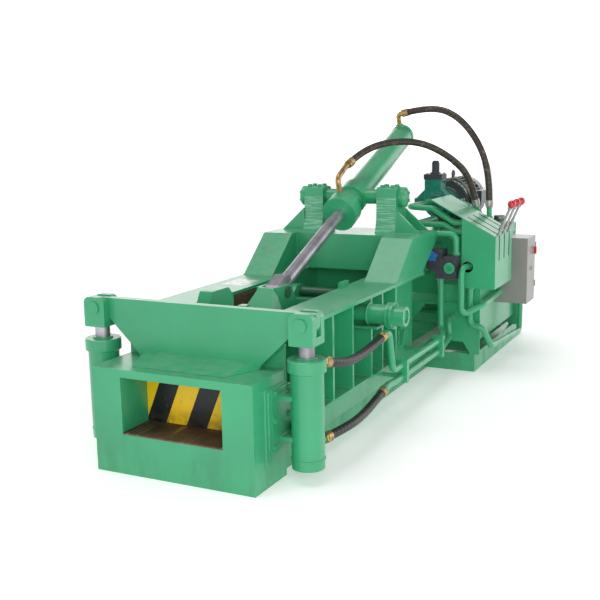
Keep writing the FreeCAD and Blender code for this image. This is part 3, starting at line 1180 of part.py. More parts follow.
def build_power_pack():
    NODES["pack_base"] = [pack_base()]
    NODES["oil_tank"] = [oil_tank()]
    NODES["console_stand"] = [console_stand()]
    NODES["console"] = [console()]
    NODES["control_valve"] = [control_valve()]
    for number, y in enumerate(LEVER_Y, 1):
        NODES[f"lever_{number}"] = [lever(y)]
        NODES[f"lever_knob_{number}"] = [lever_knob(y)]
    NODES["relief_valve"] = [relief_valve()]
    NODES["relief_hand_wheel"] = [relief_hand_wheel()]
    NODES["pump"] = [pump(), pump_cap()]
    NODES["bell_housing"] = [bell_housing()]
    NODES["electric_motor"] = [electric_motor()]
    NODES["motor_rotor"] = [motor_rotor()]
    NODES["manifold"] = [manifold()]
    NODES["electric_box"] = [electric_box(), switchgear()]
    NODES["electric_box_door"] = [electric_box_door()]
    NODES["isolator_switch"] = [isolator_switch()]


def build_lines():
    NODES["pressure_pipes"] = pressure_pipes()
    NODES["side_pipes"] = side_pipes()
    NODES["hose_end_fittings"] = hose_end_fittings()
    NODES["lid_cylinder_fittings"] = lid_cylinder_fittings()
    NODES["guide_cover"] = [guide_cover()]
    for name in HOSES:
        NODES[f"hose_{name}"] = [hose(name)]


def save():
    """Check each node and write it to its own file."""
    os.makedirs("parts", exist_ok=True)
    for name, solids in NODES.items():
        for index, solid in enumerate(solids):
            if not solid.isValid() or len(solid.Solids) != 1:
                print("check", name, index, "valid", solid.isValid(), "solids", len(solid.Solids))
        shape = solids[0] if len(solids) == 1 else Part.makeCompound(solids)
        shape.exportStep(f"parts/{name}.step")
    print(len(NODES), "nodes")


build_frame()
build_lid_and_ram()
build_power_pack()
build_lines()
save()
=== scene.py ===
# %% [markdown]
# # A hydraulic scrap baler in Blender
# A recycling baler presses loose metal into a block. This one has a long pressing chamber, a lid
# that a slanting cylinder swings shut, a striped gate at the front and an oil power pack behind.
# The rigid shapes come packed from a drawing program, so this lesson gives them their finishes
# and adds what a drawing leaves out: weld beads, hose covers, grilles, screws and dirt.

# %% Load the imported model
import math

import bmesh
import bpy
from mathutils import Matrix, Vector


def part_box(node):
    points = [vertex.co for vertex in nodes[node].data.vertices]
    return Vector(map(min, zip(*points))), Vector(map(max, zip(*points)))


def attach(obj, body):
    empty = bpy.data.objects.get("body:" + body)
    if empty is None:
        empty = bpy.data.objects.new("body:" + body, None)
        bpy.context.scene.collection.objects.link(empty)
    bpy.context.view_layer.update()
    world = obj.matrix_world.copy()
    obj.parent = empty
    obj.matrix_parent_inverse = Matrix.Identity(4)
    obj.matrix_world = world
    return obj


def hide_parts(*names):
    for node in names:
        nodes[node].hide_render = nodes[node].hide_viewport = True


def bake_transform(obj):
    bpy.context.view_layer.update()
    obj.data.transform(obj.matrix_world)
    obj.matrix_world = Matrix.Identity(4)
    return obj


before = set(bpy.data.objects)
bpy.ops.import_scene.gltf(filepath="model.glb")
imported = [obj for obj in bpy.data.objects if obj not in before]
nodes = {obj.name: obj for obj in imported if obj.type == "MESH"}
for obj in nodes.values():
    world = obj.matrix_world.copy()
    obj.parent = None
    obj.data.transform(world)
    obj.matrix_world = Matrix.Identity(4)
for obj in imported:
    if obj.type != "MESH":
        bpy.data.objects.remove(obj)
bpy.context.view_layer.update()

# %% [markdown]
# ## Shader maths as sentences
# A worn surface is arithmetic: "dust where the face looks up and the noise is high". Node trees
# hide such sentences in a web of links. They could be drawn by hand in the shader editor, but a
# written sentence is easier to read and to change. The small class below wraps a socket, so that
# sums written in Python become Math nodes, and `Finish` holds one material while it is being made.

# %% A socket that can be added and multiplied
class Wire:
    """The output of a node, as a term of a sum."""

    def __init__(self, finish, socket):
        self.finish, self.socket = finish, socket

    def math(self, operation, *others):
        return self.finish.node("ShaderNodeMath", {"operation": operation}, [self, *others])

    def __add__(self, other): return self.math("ADD", other)
    def __radd__(self, other): return self.math("ADD", other)
    def __sub__(self, other): return self.math("SUBTRACT", other)
    def __mul__(self, other): return self.math("MULTIPLY", other)
    def __rmul__(self, other): return self.math("MULTIPLY", other)
    def __truediv__(self, other): return self.math("DIVIDE", other)
    def __gt__(self, other): return self.math("GREATER_THAN", other)
    def __lt__(self, other): return self.math("LESS_THAN", other)

    def __rsub__(self, other):
        return self.finish.node("ShaderNodeMath", {"operation": "SUBTRACT"}, [other, self])

    def ramp(self, low, high):
        """0 at low, 1 at high, smooth between and held outside."""
        return self.finish.node("ShaderNodeMapRange", {"interpolation_type": "SMOOTHSTEP"},
                                {"Value": self, "From Min": low, "From Max": high})


# %% A material that is being made
class Finish:
    """One material: a Principled shader and the nodes that feed it."""

    def __init__(self, name):
        self.material = bpy.data.materials.new(name)
        self.material.use_nodes = True
        self.tree = self.material.node_tree
        self.tree.nodes.clear()
        self.shader = self.tree.nodes.new("ShaderNodeBsdfPrincipled")
        output = self.tree.nodes.new("ShaderNodeOutputMaterial")
        self.tree.links.new(self.shader.outputs["BSDF"], output.inputs["Surface"])
        self.place = self.node("ShaderNodeTexCoord", out="Object")
        self.x, self.y, self.z = self.split(self.place)
        facing = self.node("ShaderNodeNewGeometry", out="Normal")
        self.facing_x, self.facing_y, self.facing_z = self.split(facing)

    def plug(self, socket, value):
        """Link a wire to a socket, or set a plain value on it."""
        if isinstance(value, Wire):
            self.tree.links.new(value.socket, socket)
        elif hasattr(value, "__len__") and socket.type == "RGBA":
            socket.default_value = (*value[:3], 1.0)
        else:
            socket.default_value = value

    def node(self, kind, settings=None, inputs=None, out=0):
        """Any node: its settings first, then the values or links of its sockets."""
        made = self.tree.nodes.new(kind)
        for key, value in (settings or {}).items():
            setattr(made, key, value)
        pairs = inputs.items() if isinstance(inputs, dict) else enumerate(inputs or [])
        for key, value in pairs:
            self.plug(made.inputs[key], value)
        return Wire(self, made.outputs[out])

    def split(self, vector):
        """The three parts of a vector, each as a wire."""
        made = self.tree.nodes.new("ShaderNodeSeparateXYZ")
        self.plug(made.inputs[0], vector)
        return [Wire(self, made.outputs[axis]) for axis in range(3)]

    def join(self, x, y, z):
        return self.node("ShaderNodeCombineXYZ", None, [x, y, z])

    def noise(self, scale, detail=3.0, rough=0.55, stretch=(1, 1, 1)):
        """Soft noise from 0 to 1, scale per metre, stretched along an axis by a small number."""
        place = self.place
        if stretch != (1, 1, 1):
            place = self.node("ShaderNodeVectorMath", {"operation": "MULTIPLY"}, [place, stretch])
        return self.node("ShaderNodeTexNoise", None,
                         {"Vector": place, "Scale": scale, "Detail": detail, "Roughness": rough})

    def mix(self, share, first, second):
        """A colour between two others."""
        return self.node("ShaderNodeMix", {"data_type": "RGBA"},
                         {0: share, 6: first, 7: second}, out=2)

    def edge(self, radius=0.004):
        """1 along edges and 0 on flats, from how much a rounded normal turns away."""
        soft = self.node("ShaderNodeBevel", {"samples": 4}, {"Radius": radius})
        flat = self.node("ShaderNodeNewGeometry", out="Normal")
        turn = self.node("ShaderNodeVectorMath", {"operation": "DOT_PRODUCT"}, [soft, flat],
                         out="Value")
        return (1 - turn).ramp(0.02, 0.25)

    def bump(self, height, distance, under=None):
        """A normal tilted by a height field, on top of another bump if there is one."""
        inputs = {"Height": height, "Distance": distance, "Strength": 1.0}
        if under:
            inputs["Normal"] = under
        return self.node("ShaderNodeBump", None, inputs)

    def done(self, **sockets):
        """Set the shader's own sockets, by names such as base_color."""
        for key, value in sockets.items():
            self.plug(self.shader.inputs[key.replace("_", " ").title()], value)
        return self.material


def shade(red, green, blue):
    """A colour picked on a 0 to 255 scale, as the shader wants it."""
    return tuple((c / 255 / 12.92) if c < 10.3 else ((c / 255 + 0.055) / 1.055) ** 2.4
                 for c in (red, green, blue))


# %% [markdown]
# ## Enamel on heavy plate
# Machines like this are brushed and sprayed in the workshop. The coat is thick and glossy, it
# drifts a little in shade, shows the mill scale under it as a fine orange peel, is rubbed on
# edges, and gathers pale dust on top and grime near the floor. The rubbed edges are painted
# lighter, which is partly wear and partly a painted highlight. One function makes them all.

# %% Paint
DUST, GRIME = shade(186, 190, 178), shade(58, 66, 52)
# the second colour on the next line is painted shade, for insides that light does not reach
BARE_STEEL, SHADE_DARK = shade(216, 218, 214), shade(12, 20, 17)


def paint(name, colour, dust=0.22, grime=0.25, gloss=0.30, edges=0.5, peel=0.00012, drift=0.16,
          lacquer=0.45, painted_shade=None, bare=None):
    """Enamel. The two masks give painted shade in dark insides and spots rubbed to steel; edges
    sets how much rubbed edges are painted lighter, as wear and painted highlight.
    """
    coat = Finish(name)
    cloud = coat.noise(1.7, 2)
    mottle = coat.noise(24, 5, 0.6)
    streak = coat.noise(7, 4, 0.65, (1, 1, 0.22))
    up = coat.facing_z.ramp(0.55, 0.95)
    low = (1 - coat.z.ramp(0.02, 0.34)) * streak.ramp(0.38, 0.70)
    rubbed_and_lit_edge = coat.edge() * coat.noise(30, 3).ramp(0.42, 0.62)
    worn_and_lit_edge_colour = tuple(min(1.0, c * 1.35 + 0.03) for c in colour)
    deep = tuple(c * (1 - drift) for c in colour)
    tone = coat.mix(cloud.ramp(0.3, 0.7), deep, colour)
    tone = coat.mix(mottle.ramp(0.45, 0.85) * 0.22, tone, tuple(c * 0.72 for c in colour))
    tone = coat.mix(up * dust * mottle.ramp(0.25, 0.7), tone, DUST)
    tone = coat.mix(low * grime, tone, GRIME)
    # rubbed edges take a lighter copy of the colour: partly wear, partly a painted highlight
    tone = coat.mix(rubbed_and_lit_edge * edges, tone, worn_and_lit_edge_colour)
    if bare:
        tone = coat.mix(bare(coat) * mottle.ramp(0.35, 0.5), tone, BARE_STEEL)
    # painted shade: the masked insides are painted near black
    if painted_shade:
        tone = coat.mix(painted_shade(coat), tone, SHADE_DARK)
    rough = gloss + 0.16 * mottle + 0.12 * up * dust + 0.22 * low
    orange_peel = coat.bump(coat.noise(260, 2), peel)
    wave = coat.bump(coat.noise(9, 2), 0.0012, orange_peel)
    return coat.done(base_color=tone, roughness=rough, normal=wave, coat_weight=lacquer,
                     coat_roughness=0.16)


# %% [markdown]
# ## Painted shade and a rubbed flange
# A imported piece is one mesh with one finish, so a place that differs from the rest is found by
# its coordinates. The inside of the lever console, seen through its slots, is painted dark as
# painted shade. The fan cowl is open at the back, and its back face inside the grille is painted
# dark as painted shade too. Loading has rubbed one flange to bare steel. Each function below makes
# a mask that is 1 in such a place. A second material would need a cut mesh, and the mask needs
# none.

# %% Masks
LEVER_ROWS = (2.390, 2.510, 2.630)     # where the levers stand along the machine
SHAFT_X, SHAFT_Z = 0.315, 1.040        # the axis that the pump and its motor share


def between(value, low, high):
    """1 where a coordinate lies between two places."""
    return (value > low) * (value < high)


def console_shade(coat):
    """1 on the inner faces of the lever console and on the slot walls, painted dark as painted
    shade seen through the slots.
    """
    lid_slope, lid_level, half_slot = 0.5349, 1.3500, 0.0100
    under_lid = (coat.z + lid_slope * coat.x) < lid_level
    inner = between(coat.x, 0.6505, 0.8545) * between(coat.y, 2.3055, 2.6995) * \
        (coat.z > 0.5705) * under_lid
    first, second, third = (between(coat.y, y - half_slot, y + half_slot) for y in LEVER_ROWS)
    slotted = (first + second + third) * (coat.x > 0.6545) * (coat.z > 0.7355)
    return inner + slotted - inner * slotted


def fan_opening_shade(coat):
    """1 on the back face of the fan cowl inside its grille, painted dark as painted shade in the
    open cowl.
    """
    cowl_back, opening_squared = 3.430, 0.0174
    across, rise = coat.x - SHAFT_X, coat.z - SHAFT_Z
    disc = across * across + rise * rise < opening_squared
    return disc * (coat.facing_y > 0.7) * (coat.y > cowl_back)


def rubbed_flange(coat):
    """1 on a patch of the left wall's flange, where loading has rubbed it to bare steel."""
    flange_top, inner_edge = 0.7015, -0.30
    ends = coat.y.ramp(1.17, 1.22) * (1 - coat.y.ramp(1.36, 1.42))
    return ends * coat.x.ramp(-0.46, -0.43) * (coat.z > flange_top) * (coat.x < inner_edge)


# %% Paints of this machine
GREEN = shade(56, 172, 120)
machine_green = paint("machine_green", GREEN)
# the console's inside, seen through the lever slots, is painted dark as painted shade
console_green = paint("console_green", GREEN, painted_shade=console_shade)
flange_green = paint("flange_green", GREEN, bare=rubbed_flange)
cabinet_grey = paint("cabinet_grey", shade(150, 148, 144), dust=0.2, grime=0.1, gloss=0.42,
                     peel=0.00025, drift=0.06)
# the fan cowl's back inside the grille is painted dark as painted shade
motor_dark = paint("motor_dark", shade(52, 66, 68), dust=0.5, grime=0.0, gloss=0.4,
                   painted_shade=fan_opening_shade)
pin_green = paint("pin_green", shade(30, 96, 66), dust=0.1, grime=0.0, gloss=0.4)
paints = (machine_green, console_green, flange_green, cabinet_grey, motor_dark, pin_green)
print("paints:", ", ".join(finish.name for finish in paints))

# %% [markdown]
# ## Bare, worn and bright metal
# The wear plates inside the chamber are never painted: scrap scours them, so rust, scale and
# long bright scratches lie side by side. Piston rods are ground and chromed, pins and bolts are
# plated, and the valve is bare iron. They differ in roughness more than in colour.

# %% Wear plates
def wear_plate(name):
    plate = Finish(name)
    rust = plate.noise(5, 5, 0.6)
    fine = plate.noise(60, 5, 0.65)
    scour = plate.noise(46, 4, 0.6, (1, 0.035, 1))
    scratch = scour.ramp(0.56, 0.63)
    tone = plate.mix(rust.ramp(0.3, 0.7), shade(74, 56, 46), shade(126, 92, 72))
    tone = plate.mix(fine.ramp(0.5, 0.8) * 0.6, tone, shade(48, 38, 32))
    tone = plate.mix(scratch * 0.55, tone, shade(150, 142, 134))
    grain = plate.bump(fine + 0.6 * scratch, 0.0006)
    return plate.done(base_color=tone, roughness=0.62 - 0.25 * scratch + 0.1 * fine,
                      metallic=0.35 + 0.5 * scratch, normal=grain)


# %% Chromed rods, plated pins and bare iron
def chrome(name):
    rod = Finish(name)
    film = rod.noise(6, 4, 0.6)
    grind = rod.noise(160, 2, 0.5, (1, 0.06, 0.06))
    tone = rod.mix(film.ramp(0.35, 0.7), shade(196, 192, 202), shade(150, 146, 156))
    return rod.done(base_color=tone, roughness=0.30 + 0.14 * film + 0.05 * grind, metallic=0.85,
                    normal=rod.bump(grind, 0.00004))


def plated(name, colour, rough=0.34):
    steel = Finish(name)
    blotch = steel.noise(70, 4, 0.6)
    scratch = steel.noise(420, 2, 0.5, (1, 0.2, 1))
    tone = steel.mix(blotch.ramp(0.4, 0.75), colour, tuple(c * 0.55 for c in colour))
    worn = steel.edge(0.002)
    tone = steel.mix(worn * 0.6, tone, shade(205, 205, 205))
    return steel.done(base_color=tone, roughness=rough + 0.2 * blotch, metallic=0.9,
                      normal=steel.bump(scratch, 0.00006))


def bare_iron(name, colour):
    iron = Finish(name)
    cast = iron.noise(320, 3, 0.6)
    oil = iron.noise(16, 4, 0.6).ramp(0.45, 0.7)
    tone = iron.mix(oil, colour, tuple(c * 0.42 for c in colour))
    tone = iron.mix(iron.edge(0.003) * 0.5, tone, tuple(min(1, c * 2.2) for c in colour))
    return iron.done(base_color=tone, roughness=0.58 - 0.26 * oil, metallic=0.45,
                     normal=iron.bump(cast, 0.0004))


# %% Plain metals
worn_steel = wear_plate("worn_steel")
hard_chrome = chrome("hard_chrome")
zinc_steel = plated("zinc_steel", shade(176, 174, 166))
lever_steel = plated("lever_steel", shade(172, 172, 172), 0.26)
valve_iron = bare_iron("valve_iron", shade(78, 76, 88))
print("metals:", ", ".join(m.name for m in (worn_steel, hard_chrome, zinc_steel, valve_iron)))


# %% Hose ends
def hose_metal(name, silver, gold, from_y):
    """Hose ends: yellow passivated zinc in front of from_y, plain zinc behind it."""
    zinc = Finish(name)
    blotch = zinc.noise(70, 4, 0.6)
    stain = zinc.noise(22, 3).ramp(0.45, 0.7)
    tone = zinc.mix(zinc.y > from_y, gold, silver)
    tone = zinc.mix(stain * 0.6, tone, shade(92, 80, 60))
    tone = zinc.mix(zinc.edge(0.002) * 0.7, tone, shade(226, 220, 200))
    return zinc.done(base_color=tone, roughness=0.26 + 0.2 * blotch, metallic=0.85,
                     normal=zinc.bump(zinc.noise(300, 2), 0.0001))


MANIFOLD_FRONT, BEHIND_ALL = 2.0, 9.0
fitting_zinc = hose_metal("fitting_zinc", shade(190, 190, 186), shade(176, 152, 104),
                          MANIFOLD_FRONT)
fitting_gold = hose_metal("fitting_gold", shade(190, 160, 104), shade(190, 160, 104), BEHIND_ALL)
print("hose ends:", fitting_zinc.name, "and", fitting_gold.name)

# %% [markdown]
# ## Moulded plastic and the blue wheel
# Ball knobs come out of a polished mould, so they are nearly mirror smooth, with a fine web of
# handling scratches and a dull film of grease where hands hold them. The isolator's grip is such
# a moulding on a chromed collar, and the hand wheel of the valve is enamelled blue.

# %% Plastics and wheel paint
def moulded(name, colour, rough=0.14, coat=0.6):
    plastic = Finish(name)
    film = plastic.noise(60, 4, 0.6)
    scratch = plastic.noise(700, 2, 0.5, (1, 0.15, 1))
    tone = plastic.mix(film.ramp(0.4, 0.8), colour, tuple(c * 0.72 for c in colour))
    return plastic.done(base_color=tone, roughness=rough + 0.16 * film,
                        coat_weight=coat, normal=plastic.bump(scratch, 0.00003))


knob_red = moulded("knob_red", shade(206, 26, 34))


def isolator(name, collar_end):
    """Chromed collar on the door, red grip in front of it."""
    grip = Finish(name)
    red = grip.x > collar_end
    film = grip.noise(60, 4, 0.6)
    collar = grip.mix(film.ramp(0.4, 0.8), shade(206, 208, 210), shade(160, 160, 164))
    handle = grip.mix(film.ramp(0.4, 0.8), shade(214, 34, 34), shade(150, 20, 22))
    tone = grip.mix(red, collar, handle)
    return grip.done(base_color=tone, roughness=0.22 + 0.15 * film, metallic=(1 - red) * 0.9,
                     normal=grip.bump(grip.noise(500, 2), 0.00005))


COLLAR_END = 0.9337
switch_finish = isolator("switch_finish", COLLAR_END)
wheel_blue = paint("wheel_blue", shade(44, 112, 190), dust=0.1, grime=0.0, gloss=0.3, edges=0.6)
print("controls:", ", ".join(m.name for m in (knob_red, switch_finish, wheel_blue)))

# %% [markdown]
# ## Yellow and black stripes on the gate
# The gate is marked with slanting bands in two colours. Each band is a step function of one
# slanting distance, so the pattern needs no image. Scrap has scratched it and the paint edge is
# a little uneven, which comes from adding noise to that distance before the step.

# %% Gate stripes
STRIPE_PERIOD, STRIPE_START, STRIPE_LEAN, STRIPE_LEVEL = 0.228, -0.087, 0.42, 0.394
YELLOW, BLACK = shade(255, 206, 16), shade(17, 16, 20)


def stripes(name):
    gate = Finish(name)
    wobble = (gate.noise(60, 3) - 0.5) * 0.004
    slant = gate.x - (gate.z - STRIPE_LEVEL) * STRIPE_LEAN + wobble
    turn = ((slant - STRIPE_START) / STRIPE_PERIOD).math("FRACT")
    black = turn.ramp(0.495, 0.505) * (1 - turn.ramp(0.99, 1.0))
    scuff = gate.noise(34, 5, 0.7, (1, 1, 0.4)).ramp(0.60, 0.68)
    dirt = (1 - gate.z.ramp(0.2, 0.3)) * gate.noise(18, 4).ramp(0.35, 0.65)
    tone = gate.mix(black, YELLOW, BLACK)
    tone = gate.mix(scuff * 0.5, tone, shade(110, 104, 92))
    tone = gate.mix(dirt * 0.6, tone, shade(66, 56, 44))
    rough = 0.36 + 0.3 * scuff + 0.2 * dirt
    return gate.done(base_color=tone, roughness=rough,
                     normal=gate.bump(gate.noise(220, 2), 0.0002))


gate_stripes = stripes("gate_stripes")
print("a pair of bands every", STRIPE_PERIOD, "m")

# %% [markdown]
# ## Flame-cut edges
# The bearing pedestals are cut from thick plate with a torch. The flame leaves a stack of fine
# level ridges on the cut faces, while the plate's broad faces stay smooth. The ridges are bumps,
# and the cut faces, the ridges and the edges are also painted paler as a painted highlight. The
# surface normal tells the two kinds of face apart, so one material serves both.

# %% Flame-cut pedestals
def flame_cut(name, colour, outer_face=0.3122, foot=0.934):
    """Enamel over ridges, on the faces that look along the machine or up, with a painted highlight
    on them and on the edges.
    """
    plate = Finish(name)
    across = plate.x.math("ABSOLUTE")
    cut = (plate.facing_x.math("ABSOLUTE") < 0.5) * (across < outer_face) * (plate.z > foot)
    ridge = plate.noise(15, 4, 0.7, (0.5, 0.5, 9))
    cloud = plate.noise(3, 2)
    up = plate.facing_z.ramp(0.55, 0.95)
    tone = plate.mix(cloud.ramp(0.3, 0.7), tuple(c * 0.84 for c in colour), colour)
    # cut faces and ridge tops are painted paler: painted highlight
    tone = plate.mix(cut * 0.3, tone, shade(116, 200, 162))
    tone = plate.mix(cut * ridge.ramp(0.46, 0.60) * 0.55, tone, shade(178, 226, 206))
    # edges are painted paler: painted highlight
    tone = plate.mix(plate.edge() * 0.5, tone, shade(120, 205, 165))
    bumps = plate.bump(cut * ridge, 0.004, plate.bump(plate.noise(260, 2), 0.00012))
    return plate.done(base_color=tone, roughness=0.3 + 0.2 * cut * ridge + 0.1 * up, normal=bumps,
                      coat_weight=0.5, coat_roughness=0.16)


cut_green = flame_cut("cut_green", GREEN)
print("flame-cut finish:", cut_green.name)

# %% [markdown]
# ## The pump's two colours
# The pump body is teal, but the head of its control tower is left in dark iron. Both are one
# piece, so the finish switches with height above the floor, as the masks above do.

# %% Pump
CAP_LEVEL = 1.2095


def two_tone(name, low, high, level):
    body = Finish(name)
    top = body.z > level
    cloud = body.noise(14, 4, 0.6)
    tone = body.mix(cloud.ramp(0.35, 0.7), low, tuple(c * 0.66 for c in low))
    tone = body.mix(top, tone, high)
    # edges are painted a brighter teal: painted highlight
    tone = body.mix(body.edge() * 0.45, tone, tuple(min(1, c * 1.9 + 0.02) for c in low))
    return body.done(base_color=tone, roughness=0.3 + 0.25 * cloud + 0.1 * top,
                     normal=body.bump(body.noise(180, 3), 0.0003))


pump_finish = two_tone("pump_teal_body", shade(12, 132, 112), shade(52, 54, 64), CAP_LEVEL)
print("the pump changes colour at", CAP_LEVEL, "m")

# %% [markdown]
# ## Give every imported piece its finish
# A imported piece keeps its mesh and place, so the visible model stays true to the drawing. Only
# the material in its slot changes. Pieces that a shape made below stands for aren't listed.

# %% Assign finishes
FINISHES = {
    machine_green: [
        "base_frame", "bearing_caps", "console_stand", "cylinder_brackets",
        "gate_cylinders", "lid_cylinder_barrel", "lid_cylinder_trunnion",
        "main_cylinder", "oil_tank", "outlet_box", "pack_base", "portal_crossbeam", "portal_legs",
        "ram_head", "ram_housing", "side_wall_right", "guide_cover",
        "lock_cylinder", "manifold", "gate_cylinder_heads", "gate_clevises",
        "side_pipes", "frame_bolts", "gate_pins"],
    console_green: ["console"],
    flange_green: ["side_wall_left"],
    pin_green: ["lid_pins"],
    cut_green: ["bearing_pedestals"],
    worn_steel: ["floor_liner", "wall_liners"],
    zinc_steel: ["lock_pin"],
    fitting_zinc: ["hose_end_fittings"],
    fitting_gold: ["lid_cylinder_fittings"],
    hard_chrome: ["gate_rods", "lid_cylinder_rod", "ram_rod"],
    valve_iron: ["control_valve"],
    motor_dark: ["electric_motor", "motor_rotor", "bell_housing"],
    cabinet_grey: ["electric_box", "electric_box_door"],
    knob_red: ["lever_knob_1", "lever_knob_2", "lever_knob_3"],
    switch_finish: ["isolator_switch"],
    wheel_blue: ["relief_hand_wheel"],
    lever_steel: ["lever_1", "lever_2", "lever_3"],
    gate_stripes: ["gate_panel"],
}
for finish, names in FINISHES.items():
    for name in names:
        for slot in nodes[name].material_slots:
            slot.material = finish
print(sum(len(names) for names in FINISHES.values()), "packed pieces have a finish")

# %% [markdown]
# ## Hydraulic hoses
# Four rubber hoses leave their fittings straight, bow under their own stiffness and come back
# into the machine. A smooth curve through a few points gives that bow. The cover is wrapped
# while it cures, which leaves a fine spiral, so the tube carries its own map: round it in one
# direction and along it in the other.

# %% Hose cover
HOSE_DIAMETER, HOSE_SIDES, HOSE_RINGS_PER_METRE = 0.044, 24, 240
SPIRALS_PER_METRE, WEAVE_AROUND, WEAVE_ALONG = 34, 30, 900


def hose_cover(name, colour, scuff_and_highlight):
    cover = Finish(name)
    around, along, _ = cover.split(cover.node("ShaderNodeUVMap", {"uv_map": "UVMap"}))
    turn = (around + along * SPIRALS_PER_METRE).math("FRACT")
    spiral = (turn - 0.5).math("ABSOLUTE").ramp(0.30, 0.46)
    weave = (around * WEAVE_AROUND - along * WEAVE_ALONG).math("SINE") * 0.5 + 0.5
    scuff = cover.noise(30, 4, 0.65).ramp(0.52, 0.72)
    # scuffed patches take the lighter second colour: real scuffs, with that lighter colour a
    # painted highlight
    tone = cover.mix(scuff, colour, scuff_and_highlight)
    # the spiral grooves are darkened: painted shade inside the grooves
    tone = cover.mix(spiral * 0.5, tone, tuple(c * 0.35 for c in colour))
    height = spiral * -0.8 + weave * 0.12
    return cover.done(base_color=tone, roughness=0.36 + 0.25 * scuff,
                      normal=cover.bump(height, 0.0012))


# the second colour of each cover is a painted highlight on its scuffs
lid_hose_cover = hose_cover("hose_cover_wrapped", shade(58, 50, 42), shade(122, 108, 92))
gate_hose_cover = hose_cover("hose_cover_black", shade(34, 32, 34), shade(70, 66, 64))
print("hose covers:", lid_hose_cover.name, "and", gate_hose_cover.name)


# %% A smooth line
def smooth_line(name, points):
    """The points of a smooth curve with these control points."""
    curve = bpy.data.curves.new(name + "_line", "CURVE")
    curve.dimensions, curve.resolution_u = "3D", 24
    spline = curve.splines.new("NURBS")
    spline.points.add(len(points) - 1)
    for point, place in zip(spline.points, points):
        point.co = (*place, 1.0)
    spline.order_u = 3
    spline.use_endpoint_u = True
    holder = bpy.data.objects.new(name + "_line", curve)
    bpy.context.collection.objects.link(holder)
    bpy.context.view_layer.update()
    mesh = bpy.data.meshes.new_from_object(holder)
    line = [v.co.copy() for v in mesh.vertices]
    bpy.data.objects.remove(holder)
    bpy.data.meshes.remove(mesh)
    return line


# %% A tube along a line
def tube(name, line, radius, material, sides=HOSE_SIDES, rings_per_metre=HOSE_RINGS_PER_METRE):
    """A closed round tube along a line, with a map that runs along it in metres."""
    stops = [0.0]
    for before, after in zip(line, line[1:]):
        stops.append(stops[-1] + (after - before).length)
    count = max(2, round(stops[-1] * rings_per_metre))
    places, leg = [], 0
    for ring in range(count + 1):
        reach = stops[-1] * ring / count
        while leg < len(line) - 2 and stops[leg + 1] < reach:
            leg += 1
        share = (reach - stops[leg]) / (stops[leg + 1] - stops[leg])
        places.append(line[leg].lerp(line[leg + 1], min(1.0, share)))
    mesh = bmesh.new()
    uv = mesh.loops.layers.uv.new("UVMap")
    tangent = (places[1] - places[0]).normalized()
    side = tangent.orthogonal().normalized()
    rings = []
    for index, place in enumerate(places):
        ahead = places[min(index + 1, count)] - places[max(index - 1, 0)]
        ahead.normalize()
        side = (tangent.rotation_difference(ahead) @ side).normalized()
        tangent = ahead
        other = tangent.cross(side)
        rings.append([mesh.verts.new(place + radius * (
            math.cos(2 * math.pi * s / sides) * side + math.sin(2 * math.pi * s / sides) * other))
            for s in range(sides)])
    for index, (low, high) in enumerate(zip(rings, rings[1:])):
        for s in range(sides):
            following = (s + 1) % sides
            face = mesh.faces.new((low[s], low[following], high[following], high[s]))
            face.smooth = True
            for loop, (u, v) in zip(face.loops, ((s, 0), (s + 1, 0), (s + 1, 1), (s, 1))):
                loop[uv].uv = (u / sides, (index + v) / rings_per_metre)
    mesh.faces.new(list(reversed(rings[0])))
    mesh.faces.new(rings[-1])
    data = bpy.data.meshes.new(name)
    mesh.to_mesh(data)
    mesh.free()
    data.materials.append(material)
    piece = bpy.data.objects.new(name, data)
    bpy.context.collection.objects.link(piece)
    return piece, places, stops[-1]


# %% The four hoses
HOSES = {
    "hose_lid_rear": (lid_hose_cover, [
        (0.078, 2.882, 1.666), (0.260, 2.864, 1.700), (0.455, 2.827, 1.630),
        (0.610, 2.797, 1.450), (0.682, 2.782, 1.240), (0.685, 2.780, 1.075)]),
    "hose_lid_front": (lid_hose_cover, [
        (0.0, 2.074, 1.366), (0.025, 2.190, 1.425), (0.150, 2.330, 1.480),
        (0.320, 2.490, 1.470), (0.470, 2.650, 1.360), (0.562, 2.752, 1.228),
        (0.590, 2.780, 1.080)]),
    "hose_gate_upper": (gate_hose_cover, [
        (0.602, 0.404, 0.532), (0.628, 0.520, 0.500), (0.622, 0.690, 0.488),
        (0.610, 0.880, 0.490), (0.604, 1.040, 0.506)]),
    "hose_gate_lower": (gate_hose_cover, [
        (0.602, 0.404, 0.180), (0.630, 0.540, 0.184), (0.628, 0.715, 0.183),
        (0.613, 0.885, 0.190), (0.604, 1.040, 0.210)]),
}
for name, (cover, points) in HOSES.items():
    hose, path, length = tube(name + "_rubber", smooth_line(name, points), HOSE_DIAMETER / 2, cover)
    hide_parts(name)
    if name.startswith("hose_lid"):
        start, end = Vector(points[0]), Vector(points[-1])
        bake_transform(hose)
    else:
        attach(hose, "machine")
    "hanging" if "lid" in name else "taut"
    print(name, "is", round(length, 3), "m long")

# %% [markdown]
# ## Recipes that grow a mesh
# Weld beads, screws and grille rings repeat one small shape along a line or over many places.
# Geometry Nodes do that: a recipe is written once with named inputs, run on a few points or
# lines, and what it makes is kept as a plain mesh that rides on one part of the machine.

